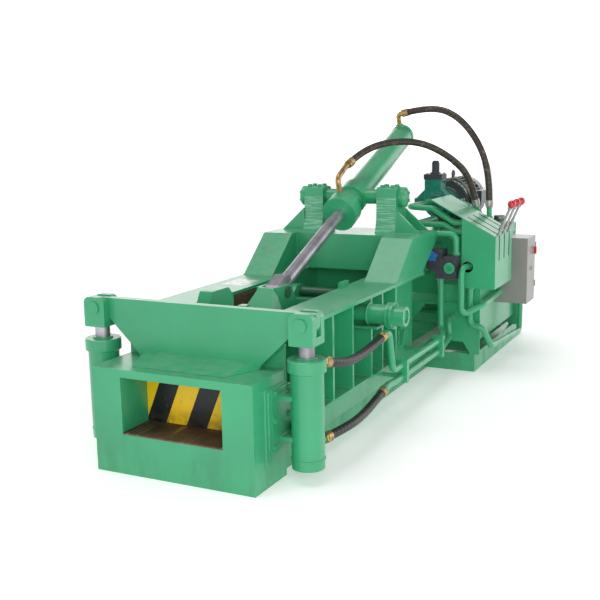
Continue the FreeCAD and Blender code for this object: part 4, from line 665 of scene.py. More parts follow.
# %% A recipe
class Recipe(Finish):
    """The same way of writing nodes, for a Geometry Nodes tree with named inputs."""

    def __init__(self, name, **given):
        self.tree = bpy.data.node_groups.new(name, "GeometryNodeTree")
        face = self.tree.interface
        face.new_socket("Geometry", in_out="INPUT", socket_type="NodeSocketGeometry")
        for label, start in given.items():
            kind = "NodeSocketInt" if isinstance(start, int) else "NodeSocketFloat"
            face.new_socket(label, in_out="INPUT", socket_type=kind).default_value = start
        face.new_socket("Finish", in_out="INPUT", socket_type="NodeSocketMaterial")
        face.new_socket("Geometry", in_out="OUTPUT", socket_type="NodeSocketGeometry")
        self.entry = self.tree.nodes.new("NodeGroupInput")
        self.exit = self.tree.nodes.new("NodeGroupOutput")

    def given(self, label):
        """One of the recipe's own inputs."""
        return Wire(self, self.entry.outputs[label])

    def attribute(self, label, kind):
        """A value that every point of the seed carries."""
        return self.node("GeometryNodeInputNamedAttribute", {"data_type": kind}, {"Name": label})

    def chance(self, low, high, seed):
        """A random number for each point, the same on every run."""
        return self.node("FunctionNodeRandomValue", {"data_type": "FLOAT"},
                         {2: low, 3: high, "Seed": seed}, out=1)

    def together(self, *shapes):
        """Several shapes as one."""
        joined = self.node("GeometryNodeJoinGeometry")
        for shape in shapes:
            self.plug(joined.socket.node.inputs[0], shape)
        return joined

    def end(self, shape):
        """Turn instances into a plain mesh and give it the finish."""
        whole = self.node("GeometryNodeRealizeInstances", None, [shape])
        dressed = self.node("GeometryNodeSetMaterial", None,
                            {"Geometry": whole, "Material": self.given("Finish")})
        self.plug(self.exit.inputs[0], dressed)
        return self.tree


# %% Keeping what a recipe makes
SMOOTH_UNDER = math.radians(38)        # flatter corners than this are shaded round


def publish(name, data, body):
    """A finished piece from a mesh: doubles merged, faces outwards, riding on a body."""
    tidy = bmesh.new()
    tidy.from_mesh(data)
    bmesh.ops.remove_doubles(tidy, verts=tidy.verts, dist=1e-6)
    bmesh.ops.recalc_face_normals(tidy, faces=tidy.faces)
    for face in tidy.faces:
        face.smooth = True
    tidy.to_mesh(data)
    tidy.free()
    data.set_sharp_from_angle(angle=SMOOTH_UNDER)
    piece = bpy.data.objects.new(name, data)
    bpy.context.collection.objects.link(piece)
    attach(piece, body)
    print(name, "has", len(data.polygons), "faces")
    return piece


def grow(name, recipe, seed, finish, body, marks=None):
    """Run a recipe on points and lines, and keep the mesh that it makes."""
    points, edges, faces = seed
    sown = bpy.data.meshes.new(name + "_seed")
    sown.from_pydata(points, edges, faces)
    for label, rows in (marks or {}).items():
        vector = hasattr(rows[0], "__len__")
        layer = sown.attributes.new(label, "FLOAT_VECTOR" if vector else "FLOAT", "POINT")
        for item, row in zip(layer.data, rows):
            setattr(item, "vector" if vector else "value", row)
    holder = bpy.data.objects.new(name + "_seed", sown)
    bpy.context.collection.objects.link(holder)
    modifier = holder.modifiers.new(name, "NODES")
    modifier.node_group = recipe
    for item in recipe.interface.items_tree:
        if item.name == "Finish":
            modifier[item.identifier] = finish
    bpy.context.view_layer.update()
    shown = holder.evaluated_get(bpy.context.evaluated_depsgraph_get())
    data = bpy.data.meshes.new_from_object(shown)
    data.name = name
    holder.modifiers.clear()
    bpy.data.objects.remove(holder)
    return publish(name, data, body)


def chain(lines):
    """Points and edges of open lines, each a list of places."""
    points, edges = [], []
    for line in lines:
        first = len(points)
        points += [tuple(place) for place in line]
        edges += [(first + step, first + step + 1) for step in range(len(line) - 1)]
    return points, edges, []


# %% [markdown]
# ## Weld beads
# Everything on this frame is welded from plate, and the fillets show as narrow rippled beads in
# the inner corners. They could be a bump in the paint, but a bead stands proud and catches light
# along its whole length, so it is a real shape: a round section swept along the seam, whose
# width swells at each ripple. Most seams are listed for the right side and mirrored.

# %% The bead recipe
def bead_recipe():
    bead = Recipe("weld_bead", Width=0.009, Ripple=0.010, Seed=3)
    line = bead.node("GeometryNodeMeshToCurve", None, [bead.given("Geometry")])
    line = bead.node("GeometryNodeResampleCurve", {"mode": "LENGTH"},
                     {"Curve": line, "Length": bead.given("Ripple") / 3})
    reach = bead.node("GeometryNodeSplineParameter", out="Length")
    wave = (reach / bead.given("Ripple") * math.pi).math("SINE").math("ABSOLUTE")
    swell = (0.70 + 0.30 * wave) * bead.chance(0.86, 1.14, bead.given("Seed"))
    section = bead.node("GeometryNodeCurvePrimitiveCircle", {"mode": "RADIUS"},
                        {"Resolution": 6, "Radius": bead.given("Width") / 2})
    return bead.end(bead.node("GeometryNodeCurveToMesh", None, {
        "Curve": line, "Profile Curve": section, "Scale": swell, "Fill Caps": True}))


weld_bead = bead_recipe()
# the beads are painted a lighter green than the frame: painted highlight along the beads
lit_weld_green = paint("lit_weld_green", shade(84, 186, 140), dust=0.2, grime=0.3, gloss=0.22, edges=0.9)


# %% Ways to write a seam
def seam(x, y, z):
    """A straight seam: the coordinate that changes along it is written as a pair."""
    return [tuple(value[end] if isinstance(value, tuple) else value for value in (x, y, z))
            for end in (0, 1)]


def round_seam(axis, centre, radius, count):
    """A seam round a part that is turned about an axis along X or Y."""
    x, y, z = centre
    line = []
    for step in range(count + 1):
        turn = 2 * math.pi * step / count
        out, rise = radius * math.cos(turn), radius * math.sin(turn)
        line.append((x, y + out, z + rise) if axis == "x" else (x + out, y, z + rise))
    return line


def mirrored(lines):
    """These lines, and the same ones on the machine's other side."""
    return lines + [[(-x, y, z) for x, y, z in line] for line in lines]


# %% Seams that both sides have
PEDESTAL_X, PEDESTAL_Y, PEDESTAL_FOOT = (0.182, 0.312), (2.002, 2.220), 0.930
LEG_X, LEG_FRONT, LEG_FOOT = (0.300, 0.497), 1.547, 0.702
BOX_SIDE, BRACKET_Y = 0.429, (0.142, 0.312)
RIB_X, RIB_LOW, RIB_HIGH, RIB_THICK = (0.291, 0.495), 0.260, 0.684, 0.020
RIB_FRONTS = (1.531, 1.325, 1.167, 0.917, 0.677, 0.430)

both = [seam(PEDESTAL_X, y, PEDESTAL_FOOT) for y in PEDESTAL_Y]
both += [seam(x, PEDESTAL_Y, PEDESTAL_FOOT) for x in PEDESTAL_X]
both += [
    seam(LEG_X[0], (LEG_FRONT, 1.885), LEG_FOOT), seam(LEG_X[1], (LEG_FRONT, 1.988), LEG_FOOT),
    seam(LEG_X, LEG_FRONT, LEG_FOOT), seam(LEG_X[0], 1.885, (0.715, 0.928)),
    seam(BOX_SIDE, 0.105, (0.090, 0.456)), seam(BOX_SIDE, 0.300, (0.262, 0.504)),
    seam(BOX_SIDE, 0.136, (0.168, 0.438)), seam(BOX_SIDE, 0.318, (0.160, 0.446)),
    seam(BOX_SIDE, BRACKET_Y, 0.446), seam(BOX_SIDE, BRACKET_Y, 0.160)]
for y in (2.016, 2.036, 2.180, 2.200):       # faces of the pedestal gussets
    both += [seam((PEDESTAL_X[1], 0.460), y, PEDESTAL_FOOT), seam(PEDESTAL_X[1], y, (0.932, 1.070))]
for z in (0.200, 0.220, 0.390, 0.410):       # faces of the bracket plates
    both.append(seam(0.449, (0.199, 0.318), z))
for front in RIB_FRONTS:
    for y in (front, front + RIB_THICK):
        both += [seam(RIB_X[0], y, (0.262, 0.682)), seam(RIB_X, y, RIB_HIGH),
                 seam(RIB_X, y, RIB_LOW)]
print(len(both), "seams on each side")

# %% Seams of the tank and the cylinders
TANK_X, TANK_Y, TANK_Z = (0.130, 0.712), (2.705, 3.400), (0.440, 0.870)
MAIN_LEVEL, MAIN_RADIUS = 0.348, 0.1225
tank_seams = [
    seam(TANK_X[1], TANK_Y[1], TANK_Z), seam(TANK_X[0], TANK_Y[1], TANK_Z),
    seam(TANK_X[0], TANK_Y, TANK_Z[1]), seam(TANK_X[1], (2.710, TANK_Y[1]), TANK_Z[1]),
    seam(TANK_X, TANK_Y[1], TANK_Z[1]), seam(TANK_X[0], TANK_Y[0], TANK_Z),
    seam(0.467, 2.395, (0.430, 0.200)), seam(0.741, 2.395, (0.428, 0.120))]
cylinder_seams = [round_seam("y", (0, y, MAIN_LEVEL), MAIN_RADIUS, 56) for y in (2.170, 3.540)]
cylinder_seams += [round_seam("x", (0.497, 1.150, 0.605), 0.055, 40),
                   round_seam("x", (0.391, 1.810, 0.335), 0.066, 40)]
frame_seams = mirrored(both) + tank_seams + cylinder_seams
grow("welds_frame", weld_bead, chain(frame_seams), lit_weld_green, "machine")

# %% Seams of the lid
LID_TOP = 0.578
PRESS_BLOCK_X = (-0.132, -0.060)
HOOD_HALF, HOOD_FRONT = 0.112, 0.765
lid_seams = mirrored([seam(0.0605, (0.935, 1.200), LID_TOP),
                      seam(HOOD_HALF, (HOOD_FRONT, 0.930), LID_TOP)])
lid_seams += [seam((-HOOD_HALF, HOOD_HALF), HOOD_FRONT, LID_TOP)]
lid_seams += [seam(x, (0.442, 0.687), LID_TOP) for x in PRESS_BLOCK_X]
grow("welds_lid", weld_bead, chain(lid_seams), lit_weld_green, "lid")

# %% [markdown]
# ## Screws
# Covers and flanges are held by hexagon screws on washers. Each could be placed by hand, but
# they sit in rings, so one recipe sets such a head on each point, turned to face away from the
# cover and twisted by up to a sixth of a turn, because no fitter lines the heads up.

# %% The screw recipe
SIXTH_OF_A_TURN = 1.047                # radians


def screw_recipe():
    """Heads that are one unit across, scaled by the size that each point carries."""
    screw = Recipe("hex_screw", Seed=5)

    def disc(sides, radius, depth, rise):
        shape = screw.node("GeometryNodeMeshCylinder", None,
                           {"Vertices": sides, "Radius": radius, "Depth": depth})
        return screw.node("GeometryNodeTransform", None,
                          {"Geometry": shape, "Translation": (0, 0, rise)})

    head, washer = disc(6, 0.5, 0.36, 0.26), disc(14, 0.64, 0.12, 0.04)
    facing = screw.node("FunctionNodeAlignRotationToVector", {"axis": "Z"},
                        {"Vector": screw.attribute("out", "FLOAT_VECTOR")})
    angle = screw.chance(0, SIXTH_OF_A_TURN, screw.given("Seed"))
    twist = screw.node("FunctionNodeAxisAngleToRotation", None,
                       {"Axis": (0, 0, 1), "Angle": angle})
    facing = screw.node("FunctionNodeRotateRotation", {"rotation_space": "LOCAL"},
                        {"Rotation": facing, "Rotate By": twist})
    return screw.end(screw.node("GeometryNodeInstanceOnPoints", None, {
        "Points": screw.given("Geometry"), "Instance": screw.together(head, washer),
        "Rotation": facing, "Scale": screw.attribute("size", "FLOAT")}))


hex_screw = screw_recipe()
screw_zinc = plated("screw_zinc", shade(150, 150, 146), 0.36)


# %% Rings of screws
def ring_of(centre, out, first, radius, count, size):
    """Places, directions and sizes of screws on a circle."""
    out, first = Vector(out), Vector(first)
    second = out.cross(first)
    turns = [2 * math.pi * (step + 0.5) / count for step in range(count)]
    return [(Vector(centre) + radius * (math.cos(t) * first + math.sin(t) * second), out, size)
            for t in turns]


def set_screws(name, screws, finish):
    """Grow a screw on each place, facing its way and as large as its size says."""
    places, directions, sizes = map(list, zip(*screws))
    grow(name, hex_screw, (places, [], []), finish, "machine",
         {"out": directions, "size": sizes})


# %% Screws of the power pack
PUMP_Y = 2.850
SCREW_RINGS = [
    ((0.288, PUMP_Y, 1.245), (0, 0, 1), (1, 0, 0), 0.066, 4, 0.016),         # control tower
    ((0.480, PUMP_Y, SHAFT_Z), (1, 0, 0), (0, 1, 0), 0.045, 4, 0.014),       # side port
    ((SHAFT_X, 2.790, SHAFT_Z), (0, -1, 0), (1, 0, 0), 0.080, 8, 0.012),     # front cover
    ((0.540, 3.170, 1.0675), (1, 0, 0), (0, 0.78, 0.62), 0.062, 4, 0.008)]   # terminal box
pack_screws = [screw for ring in SCREW_RINGS for screw in ring_of(*ring)]
cowl = ring_of((SHAFT_X, 3.392, SHAFT_Z), (0, 1, 0), (1, 0, 0), 0.160, 6, 0.010)
pack_screws += [(place, Vector((place.x - SHAFT_X, 0, place.z - SHAFT_Z)).normalized(), size)
                for place, _, size in cowl]
pack_screws += [(Vector((TANK_X[1], y, z)), Vector((1, 0, 0)), 0.012)
                for y in (3.180, 3.300, 3.370) for z in (0.500, 0.800)]
set_screws("screws_pack", pack_screws, screw_zinc)

# %% [markdown]
# ## Fan grille
# Air enters the motor through rings of wire in the end of its cowl. A picture of a grille with
# holes would look flat from the side, so the wires are real: the rings are one circle instanced
# at growing sizes, and the bars that carry them are the seed's own edges.

# %% The grille
RING_PLACE, BAR_Y, BAR_REACH = (SHAFT_X, 3.4425, SHAFT_Z), 3.441, 0.130


def grille_recipe():
    grille = Recipe("fan_grille", Rings=7, Gap=0.0175, Wire=0.004)
    place = grille.node("GeometryNodeMeshLine", {"mode": "OFFSET"},
                        {"Count": grille.given("Rings"), "Offset": (0, 0, 0)})
    size = (grille.node("GeometryNodeInputIndex") + 1) * grille.given("Gap")
    circle = grille.node("GeometryNodeCurvePrimitiveCircle", {"mode": "RADIUS"},
                         {"Resolution": 44, "Radius": 1.0})
    rings = grille.node("GeometryNodeInstanceOnPoints", None, {
        "Points": place, "Instance": circle, "Scale": grille.join(size, size, size)})
    rings = grille.node("GeometryNodeRealizeInstances", None, [rings])
    rings = grille.node("GeometryNodeTransform", None, {
        "Geometry": rings, "Translation": RING_PLACE, "Rotation": (math.pi / 2, 0, 0)})
    bars = grille.node("GeometryNodeMeshToCurve", None, [grille.given("Geometry")])
    wire = grille.node("GeometryNodeCurvePrimitiveCircle", {"mode": "RADIUS"},
                       {"Resolution": 6, "Radius": grille.given("Wire") / 2})
    return grille.end(grille.node("GeometryNodeCurveToMesh", None, {
        "Curve": grille.together(rings, bars), "Profile Curve": wire, "Fill Caps": True}))


bar_turns = [math.radians(30 + 60 * step) for step in range(6)]
bars = [[(SHAFT_X, BAR_Y, SHAFT_Z),
         (SHAFT_X + BAR_REACH * math.cos(t), BAR_Y, SHAFT_Z + BAR_REACH * math.sin(t))]
        for t in bar_turns]
grow("fan_grille", grille_recipe(), chain(bars), screw_zinc, "machine")

# %% [markdown]
# ## Turned parts
# Hose sleeves, lever sockets, the door lock and the filler cap are all turned on a lathe. They
# could be cylinders joined end to end, but one skin through rings of points is closed and has no
# hidden walls. A helper spins a profile round an axis; a nut is such a part with six sides.

# %% Closed skins and spun profiles
def skin(mesh, rings):
    """Add a closed skin through rings of places, flat over the first and the last."""
    rings = [[mesh.verts.new(place) for place in ring] for ring in rings]
    for low, high in zip(rings, rings[1:]):
        for step in range(len(low)):
            following = (step + 1) % len(low)
            mesh.faces.new((low[step], low[following], high[following], high[step]))
    mesh.faces.new(list(reversed(rings[0])))
    mesh.faces.new(rings[-1])


def turned(mesh, start, aim, profile, sides=28):
    """Add a turned shape: profile is pairs of distance along the axis and radius."""
    start, aim = Vector(start), Vector(aim).normalized()
    side = aim.orthogonal().normalized()
    other = aim.cross(side)
    turns = [2 * math.pi * step / sides for step in range(sides)]
    skin(mesh, [[start + aim * reach + radius * (math.cos(t) * side + math.sin(t) * other)
                 for t in turns] for reach, radius in profile])


def built(name, mesh, finish, body, replaced=()):
    """Publish what a bmesh holds as one piece."""
    data = bpy.data.meshes.new(name)
    mesh.to_mesh(data)
    mesh.free()
    data.materials.append(finish)
    piece = publish(name, data, body)
    if replaced:
        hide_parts(*replaced)
    return piece


def turned_piece(name, shapes, finish, body):
    """One piece of turned shapes."""
    mesh = bmesh.new()
    for shape in shapes:
        turned(mesh, *shape)
    return built(name, mesh, finish, body)


# %% [markdown]
# ## Crimped sleeves on the hose ends
# A hose is pushed over a spigot and a steel sleeve is squeezed onto it by a ring of jaws, which
# leave shallow grooves. A nut holds it to the elbow. The sleeve is a turned profile with four
# grooves, set along the first stretch of each hose, so that it hides where the rubber ends.

# %% Crimped sleeves
SLEEVE_BACK = 0.045                    # from the rubber's end back to the nut
NUT = [(0.0, 0.0225), (0.0012, 0.0258), (0.0125, 0.0258), (0.0137, 0.0225)]
SLEEVE = [(0.0130, 0.0225), (0.0142, 0.0262)]
for groove in range(4):
    at = 0.0190 + 0.0068 * groove
    SLEEVE += [(at, 0.0262), (at + 0.0010, 0.0252), (at + 0.0024, 0.0252), (at + 0.0034, 0.0262)]
SLEEVE += [(0.0470, 0.0262), (0.0482, 0.0236)]


def sleeve_at(hose_end, inward):
    """Nut and crimped sleeve whose open end takes the hose; inward points along the hose."""
    foot = Vector(hose_end) - Vector(inward).normalized() * SLEEVE_BACK
    return [(foot, inward, NUT, 6), (foot, inward, SLEEVE, 28)]


sleeves = {"gate": [], "manifold": [], "lid": []}
for name, (_, points) in HOSES.items():
    first, second, before, last = (Vector(points[i]) for i in (0, 1, -2, -1))
    sleeves["gate" if "gate" in name else "lid"] += sleeve_at(first, second - first)
    sleeves["gate" if "gate" in name else "manifold"] += sleeve_at(last, before - last)
turned_piece("sleeves_gate", sleeves["gate"], fitting_gold, "machine")
turned_piece("sleeves_manifold", sleeves["manifold"], fitting_zinc, "machine")
turned_piece("sleeves_lid", sleeves["lid"], fitting_gold, "lid_barrel")

# %% [markdown]
# ## Lever sockets
# Each hand lever is screwed into a socket with a locknut, and its ball knob sits on a collar.
# They lean with the lever and ride on its body, so they swing with it.

# %% Lever sockets
LEVER_LEAN, LEVER_X, LEVER_Z = math.radians(22.8), 0.760, 0.680
SOCKET = [(0.268, 0.0072), (0.270, 0.0125), (0.284, 0.0130), (0.287, 0.0100), (0.306, 0.0095),
          (0.330, 0.0074)]
SOCKET_NUT = [(0.2870, 0.0120), (0.2885, 0.0142), (0.2995, 0.0142), (0.3010, 0.0120)]
KNOB_COLLAR = [(0.404, 0.0072), (0.406, 0.0115), (0.4205, 0.0125), (0.422, 0.0090)]
lever_aim = Vector((math.sin(LEVER_LEAN), 0, math.cos(LEVER_LEAN)))
for number, y in enumerate(LEVER_ROWS, 1):
    pivot = (LEVER_X, y, LEVER_Z)
    turned_piece(f"lever_socket_{number}", [(pivot, lever_aim, SOCKET, 28),
                 (pivot, lever_aim, SOCKET_NUT, 6), (pivot, lever_aim, KNOB_COLLAR, 28)],
                 lever_steel, f"lever_{number}")

# %% [markdown]
# ## Door lock, filler cap and level gauge
# The electric box closes with a small round lock, and an oil tank needs a cap to fill it by and
# a glass that shows its level. All three are short turned profiles set on a flat face; the gauge
# is a glass between two hexagon fittings.

# %% Lock, cap and gauge
LOCK = [(-0.002, 0.0135), (0.0022, 0.0135), (0.0034, 0.0118), (0.0060, 0.0112), (0.0066, 0.0100)]
CAP = [(-0.002, 0.034), (0.006, 0.034), (0.007, 0.024), (0.020, 0.024), (0.021, 0.037),
       (0.025, 0.040), (0.052, 0.040), (0.058, 0.036), (0.060, 0.020)]
GLASS = [(0.0, 0.010), (0.004, 0.012), (0.176, 0.012), (0.180, 0.010)]
BANJO = [(-0.002, 0.011), (0.018, 0.011), (0.020, 0.009)]
GAUGE_X = 0.600
turned_piece("door_lock", [((0.9245, 2.992, 0.605), (1, 0, 0), LOCK, 28)], screw_zinc,
             "cabinet_door")
turned_piece("filler_cap", [((0.620, 3.300, TANK_Z[1]), (0, 0, 1), CAP, 36)], screw_zinc,
             "machine")
gauge = [((GAUGE_X, 3.412, 0.520), (0, 0, 1), GLASS, 24)]
gauge += [((GAUGE_X, TANK_Y[1], z), (0, 1, 0), BANJO, 6) for z in (0.540, 0.680)]
turned_piece("level_gauge", gauge, screw_zinc, "machine")

# %% [markdown]
# ## Plates, blocks and bent pipes
# The crossbeam, the lid, the pump, the valve block and the pipes show more form than their
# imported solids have, so pieces made here stand in for those. A slab is an outline with rounded
# corners, swept along one axis, as a flame cutter or a mill leaves it. A pipe is bent round a
# former, so its centre line is straight runs joined by arcs of one radius.

# %% Slabs and bent pipes
AXES = {"x": lambda a, b, depth: (depth, a, b), "y": lambda a, b, depth: (a, depth, b),
        "z": lambda a, b, depth: (a, b, depth)}
CORNER_STEPS, BEND_STEPS = 6, 8


def arc(before, here, after, radius, steps):
    """Points of the arc that rounds the corner at here."""
    back, on = (before - here).normalized(), (after - here).normalized()
    half_turn = back.angle(on) / 2
    centre = here + (back + on).normalized() * (radius / math.sin(half_turn))
    reach = radius / math.tan(half_turn)
    first, last = here + back * reach - centre, here + on * reach - centre
    return [centre + first.lerp(last, step / steps).normalized() * radius
            for step in range(steps + 1)]


def rounded_outline(corners):
    """Points of a closed outline whose corners are (a, b) or (a, b, radius)."""
    outline, places = [], [Vector(corner[:2]) for corner in corners]
    for index, (here, corner) in enumerate(zip(places, corners)):
        if len(corner) == 2:
            outline.append(here)
        else:
            following = places[(index + 1) % len(places)]
            outline += arc(places[index - 1], here, following, corner[2], CORNER_STEPS)
    return outline


def slab(mesh, corners, axis, low, high):
    """Add a closed plate with this outline, between two places on the axis."""
    outline, place = rounded_outline(corners), AXES[axis]
    skin(mesh, [[place(a, b, depth) for a, b in outline] for depth in (low, high)])


def rectangle(a, b, radius):
    """Corners of a rectangle between two pairs of limits."""
    return [(a[0], b[0], radius), (a[1], b[0], radius), (a[1], b[1], radius), (a[0], b[1], radius)]


def bent(points, radius):
    """A pipe's centre line: straight runs with an arc of this radius at each corner."""
    points = [Vector(point) for point in points]
    line = [points[0]]
    for before, here, after in zip(points, points[1:], points[2:]):
        line += arc(before, here, after, radius, BEND_STEPS)
    return line + [points[-1]]


# %% [markdown]
# ## Crossbeam of the gate
# One thick plate carries the gate between its two cylinders. It is flame-cut with a straight
# top, sloping sides and a rounded arm at each end, and a sloping foot stands in front of it.
# Half of the outline is written down and mirrored, so both ends are alike.

# %% Crossbeam of the gate
BEAM_FRONT, BEAM_BACK, FOOT_BACK = 0.240, 0.282, 0.260
FOOT_LOW, FOOT_HIGH = 0.507, 0.537
half_beam = [(0.330, FOOT_LOW), (0.340, 0.530, 0.015), (0.515, 0.697, 0.025),
             (0.622, 0.697, 0.036), (0.622, 0.785, 0.012)]
low_ring = [(-0.250, 0.068), (0.250, 0.068), (0.335, FOOT_BACK), (-0.335, FOOT_BACK)]
high_ring = [(-0.300, BEAM_FRONT), (0.300, BEAM_FRONT), (0.300, FOOT_BACK), (-0.300, FOOT_BACK)]
mesh = bmesh.new()
slab(mesh, half_beam + [(-corner[0], *corner[1:]) for corner in reversed(half_beam)], "y",
     BEAM_FRONT, BEAM_BACK)
skin(mesh, [[(x, y, z) for x, y in ring]
            for ring, z in ((low_ring, FOOT_LOW), (high_ring, FOOT_HIGH))])
built("gate_beam", mesh, machine_green, "gate", ["gate_crossbeam"])

# %% [markdown]
# ## Press lid
# The lid is a plate stiffened by ribs across it and bars along it. Lugs at the back take the
# hinge pin and two cheeks take the cylinder's rod, behind a sloping hood that keeps scrap off
# the joint. Slabs along the three axes make all of these, and one skin makes the hood.

# %% Plate, ribs, lugs and cheeks
LID_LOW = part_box("lid")[0][2]
LID_HALF, LID_FRONT, LID_BACK = 0.240, 0.310, 1.650
LID_THICK, LAST_RIB, INSET = 0.020, LID_BACK - 0.120, 0.0005
mesh = bmesh.new()
slab(mesh, rectangle((-LID_HALF, LID_HALF), (LID_FRONT, LID_BACK), 0.003), "z",
     LID_LOW, LID_LOW + LID_THICK)
across = rectangle((-LID_HALF + INSET, LID_HALF - INSET), (LID_LOW + INSET, LID_TOP - INSET), 0.002)
rib_ends = [(LID_FRONT + INSET, LID_FRONT + LID_THICK), (LAST_RIB, LID_BACK - 0.0605)]
rib_step = (LAST_RIB - LID_FRONT) / 6
rib_fronts = [LID_FRONT + step * rib_step for step in range(1, 6)]
rib_ends += [(front, front + LID_THICK) for front in rib_fronts]
for front, back in rib_ends:
    slab(mesh, across, "y", front, back)
lug = [(1.520, LID_LOW), (1.648, LID_LOW), (1.648, 0.555), (1.705, 0.555, 0.044),
       (1.705, 0.645, 0.044), (1.600, 0.645, 0.040), (1.520, LID_TOP)]
cheek = [(0.930, LID_LOW), (1.200, LID_LOW), (1.200, 0.582), (1.094, 0.752, 0.038), (0.930, 0.752)]
bar = rectangle((LID_FRONT, LID_BACK - 0.060), (LID_LOW, LID_TOP), 0.003)
both_sides = ((lug, 0.160, LID_HALF), (cheek, 0.0385, 0.0605), (bar, 0.215, LID_HALF))
for outline, inner, outer in both_sides:
    slab(mesh, outline, "x", inner, outer)
    slab(mesh, outline, "x", -outer, -inner)
print(len(rib_ends), "ribs across the lid")

# %% Hood, side lug and press block
HOOD_BACK, HOOD_TOP = 0.933, 0.752
low_ring = [(-HOOD_HALF, HOOD_FRONT), (HOOD_HALF, HOOD_FRONT), (HOOD_HALF, HOOD_BACK),
            (-HOOD_HALF, HOOD_BACK)]
high_ring = [(-0.040, 0.915), (0.046, 0.915), (0.046, HOOD_BACK), (-0.040, HOOD_BACK)]
skin(mesh, [[(x, y, z) for x, y in ring]
            for ring, z in ((low_ring, LID_TOP), (high_ring, HOOD_TOP))])
slab(mesh, [(-0.150, LID_TOP), (-0.060, LID_TOP), (-0.060, 0.672), (-0.110, 0.672, 0.020),
            (-0.150, 0.637, 0.012)], "y", 0.800, 0.850)
slab(mesh, [(0.442, LID_TOP), (0.450, 0.740), (0.487, 0.800, 0.010), (0.650, 0.800, 0.055),
            (0.687, 0.742, 0.020), (0.687, LID_TOP)], "x", *PRESS_BLOCK_X)
built("press_lid", mesh, machine_green, "lid", ["lid"])

# %% [markdown]
# ## Pump with its square control tower
# The pump is a cast barrel on the motor's axis. A square tower on top holds the control piston,
# with an adjuster under a turned cap, and thick flanges carry the ports at its sides. Castings
# have rounded corners, so slabs with rounded outlines and turned shapes overlap into one body.

# %% Pump housing
PUMP_AXIS = (SHAFT_X, PUMP_Y, SHAFT_Z)
FLANGE_THICK, FLANGE_STARTS = 0.018, (-0.165, 0.147)
BARREL = [(-0.085, 0.066), (-0.079, 0.072), (-0.060, 0.072), (-0.060, 0.084), (-0.055, 0.088),
          (0.060, 0.088), (0.062, 0.102), (0.080, 0.105)]
ADJUSTER = [(0.0, 0.032), (0.002, 0.034), (0.012, 0.034), (0.0125, 0.026), (0.082, 0.026),
            (0.084, 0.022), (0.090, 0.022), (0.092, 0.019)]
wings = [(0.163, 1.004), (0.386, 1.004), (0.386, 1.100, 0.020), (0.346, 1.140, 0.015),
         (0.224, 1.140, 0.015), (0.163, 1.078, 0.020)]
mesh = bmesh.new()
slab(mesh, rectangle((0.224, 0.346), (2.798, 2.902), 0.010), "z", SHAFT_Z, 1.2085)
slab(mesh, rectangle((0.220, 0.350), (2.794, 2.906), 0.006), "z", 1.2105, 1.245)
slab(mesh, wings, "y", 2.806, 2.894)
for start in FLANGE_STARTS:
    slab(mesh, rectangle((2.810, 2.890), (1.000, 1.080), 0.008), "x", SHAFT_X + start,
         SHAFT_X + start + FLANGE_THICK)
turned(mesh, PUMP_AXIS, (0, 1, 0), BARREL, 44)
turned(mesh, PUMP_AXIS, (1, 0, 0), [(-0.150, 0.030), (0.150, 0.030)], 24)
turned(mesh, (0.288, PUMP_Y, 1.2445), (0, 0, 1), ADJUSTER, 28)
built("pump_housing", mesh, pump_finish, "machine", ["pump"])

# %% [markdown]
# ## Relief valve block
# A stepped block of bare iron holds the relief valve. Its drilled channels are closed by round
# plugs with a socket for a key, so a plug is a turned profile that dips in the middle. A round
# flange with an open port stands on its front face.

# %% Relief valve block
BLOCK_FRONT, BLOCK_BACK = 2.200, 2.300
block = [(0.446, 0.807), (0.454, 0.815), (0.554, 0.815), (0.554, 0.775), (0.640, 0.775),
         (0.640, 0.632), (0.506, 0.632), (0.506, 0.670), (0.446, 0.694)]
PLUG = [(-0.002, 0.0125), (0.004, 0.0125), (0.005, 0.0115), (0.005, 0.0072), (-0.001, 0.0068)]
PORT = [(-0.002, 0.032), (0.0, 0.034), (0.012, 0.034), (0.014, 0.032), (0.014, 0.016),
        (0.002, 0.015)]
mesh = bmesh.new()
slab(mesh, block, "y", BLOCK_FRONT, BLOCK_BACK)
for x, z in ((0.534, 0.785), (0.534, 0.694), (0.552, 0.652), (0.620, 0.755)):
    turned(mesh, (x, BLOCK_FRONT, z), (0, -1, 0), PLUG, 24)
built("relief_block", mesh, valve_iron, "machine", ["relief_valve"])
turned_piece("relief_port", [((0.598, BLOCK_FRONT, 0.702), (0, -1, 0), PORT, 36)], machine_green,
             "machine")

# %% [markdown]
# ## Bearing covers
# The lid cylinder turns on two shafts in split bearings. A round cover with six screws closes
# the outer end of each bearing and keeps grit out.

# %% Bearing covers
TRUNNION_Y, TRUNNION_Z = 2.100, 1.145
COVER = [(-0.002, 0.060), (0.001, 0.062), (0.034, 0.062), (0.038, 0.058)]
turned_piece("bearing_covers", [((side * PEDESTAL_X[1], TRUNNION_Y, TRUNNION_Z), (side, 0, 0),
             COVER, 48) for side in (-1, 1)], machine_green, "machine")
cover_screws = [screw for side in (-1, 1) for screw in ring_of(
    (side * 0.350, TRUNNION_Y, TRUNNION_Z), (side, 0, 0), (0, 1, 0), 0.047, 6, 0.018)]
set_screws("cover_screws", cover_screws, machine_green)

# %% [markdown]
# ## Pipes of the power pack
# Steel pipes carry oil between the pump, the valve block, the console and the tank. They are
# bent cold, so every corner of a pipe has the same radius, and a short collar closes the joint
# where a pipe enters a block. The same tube maker serves pipes and hoses.

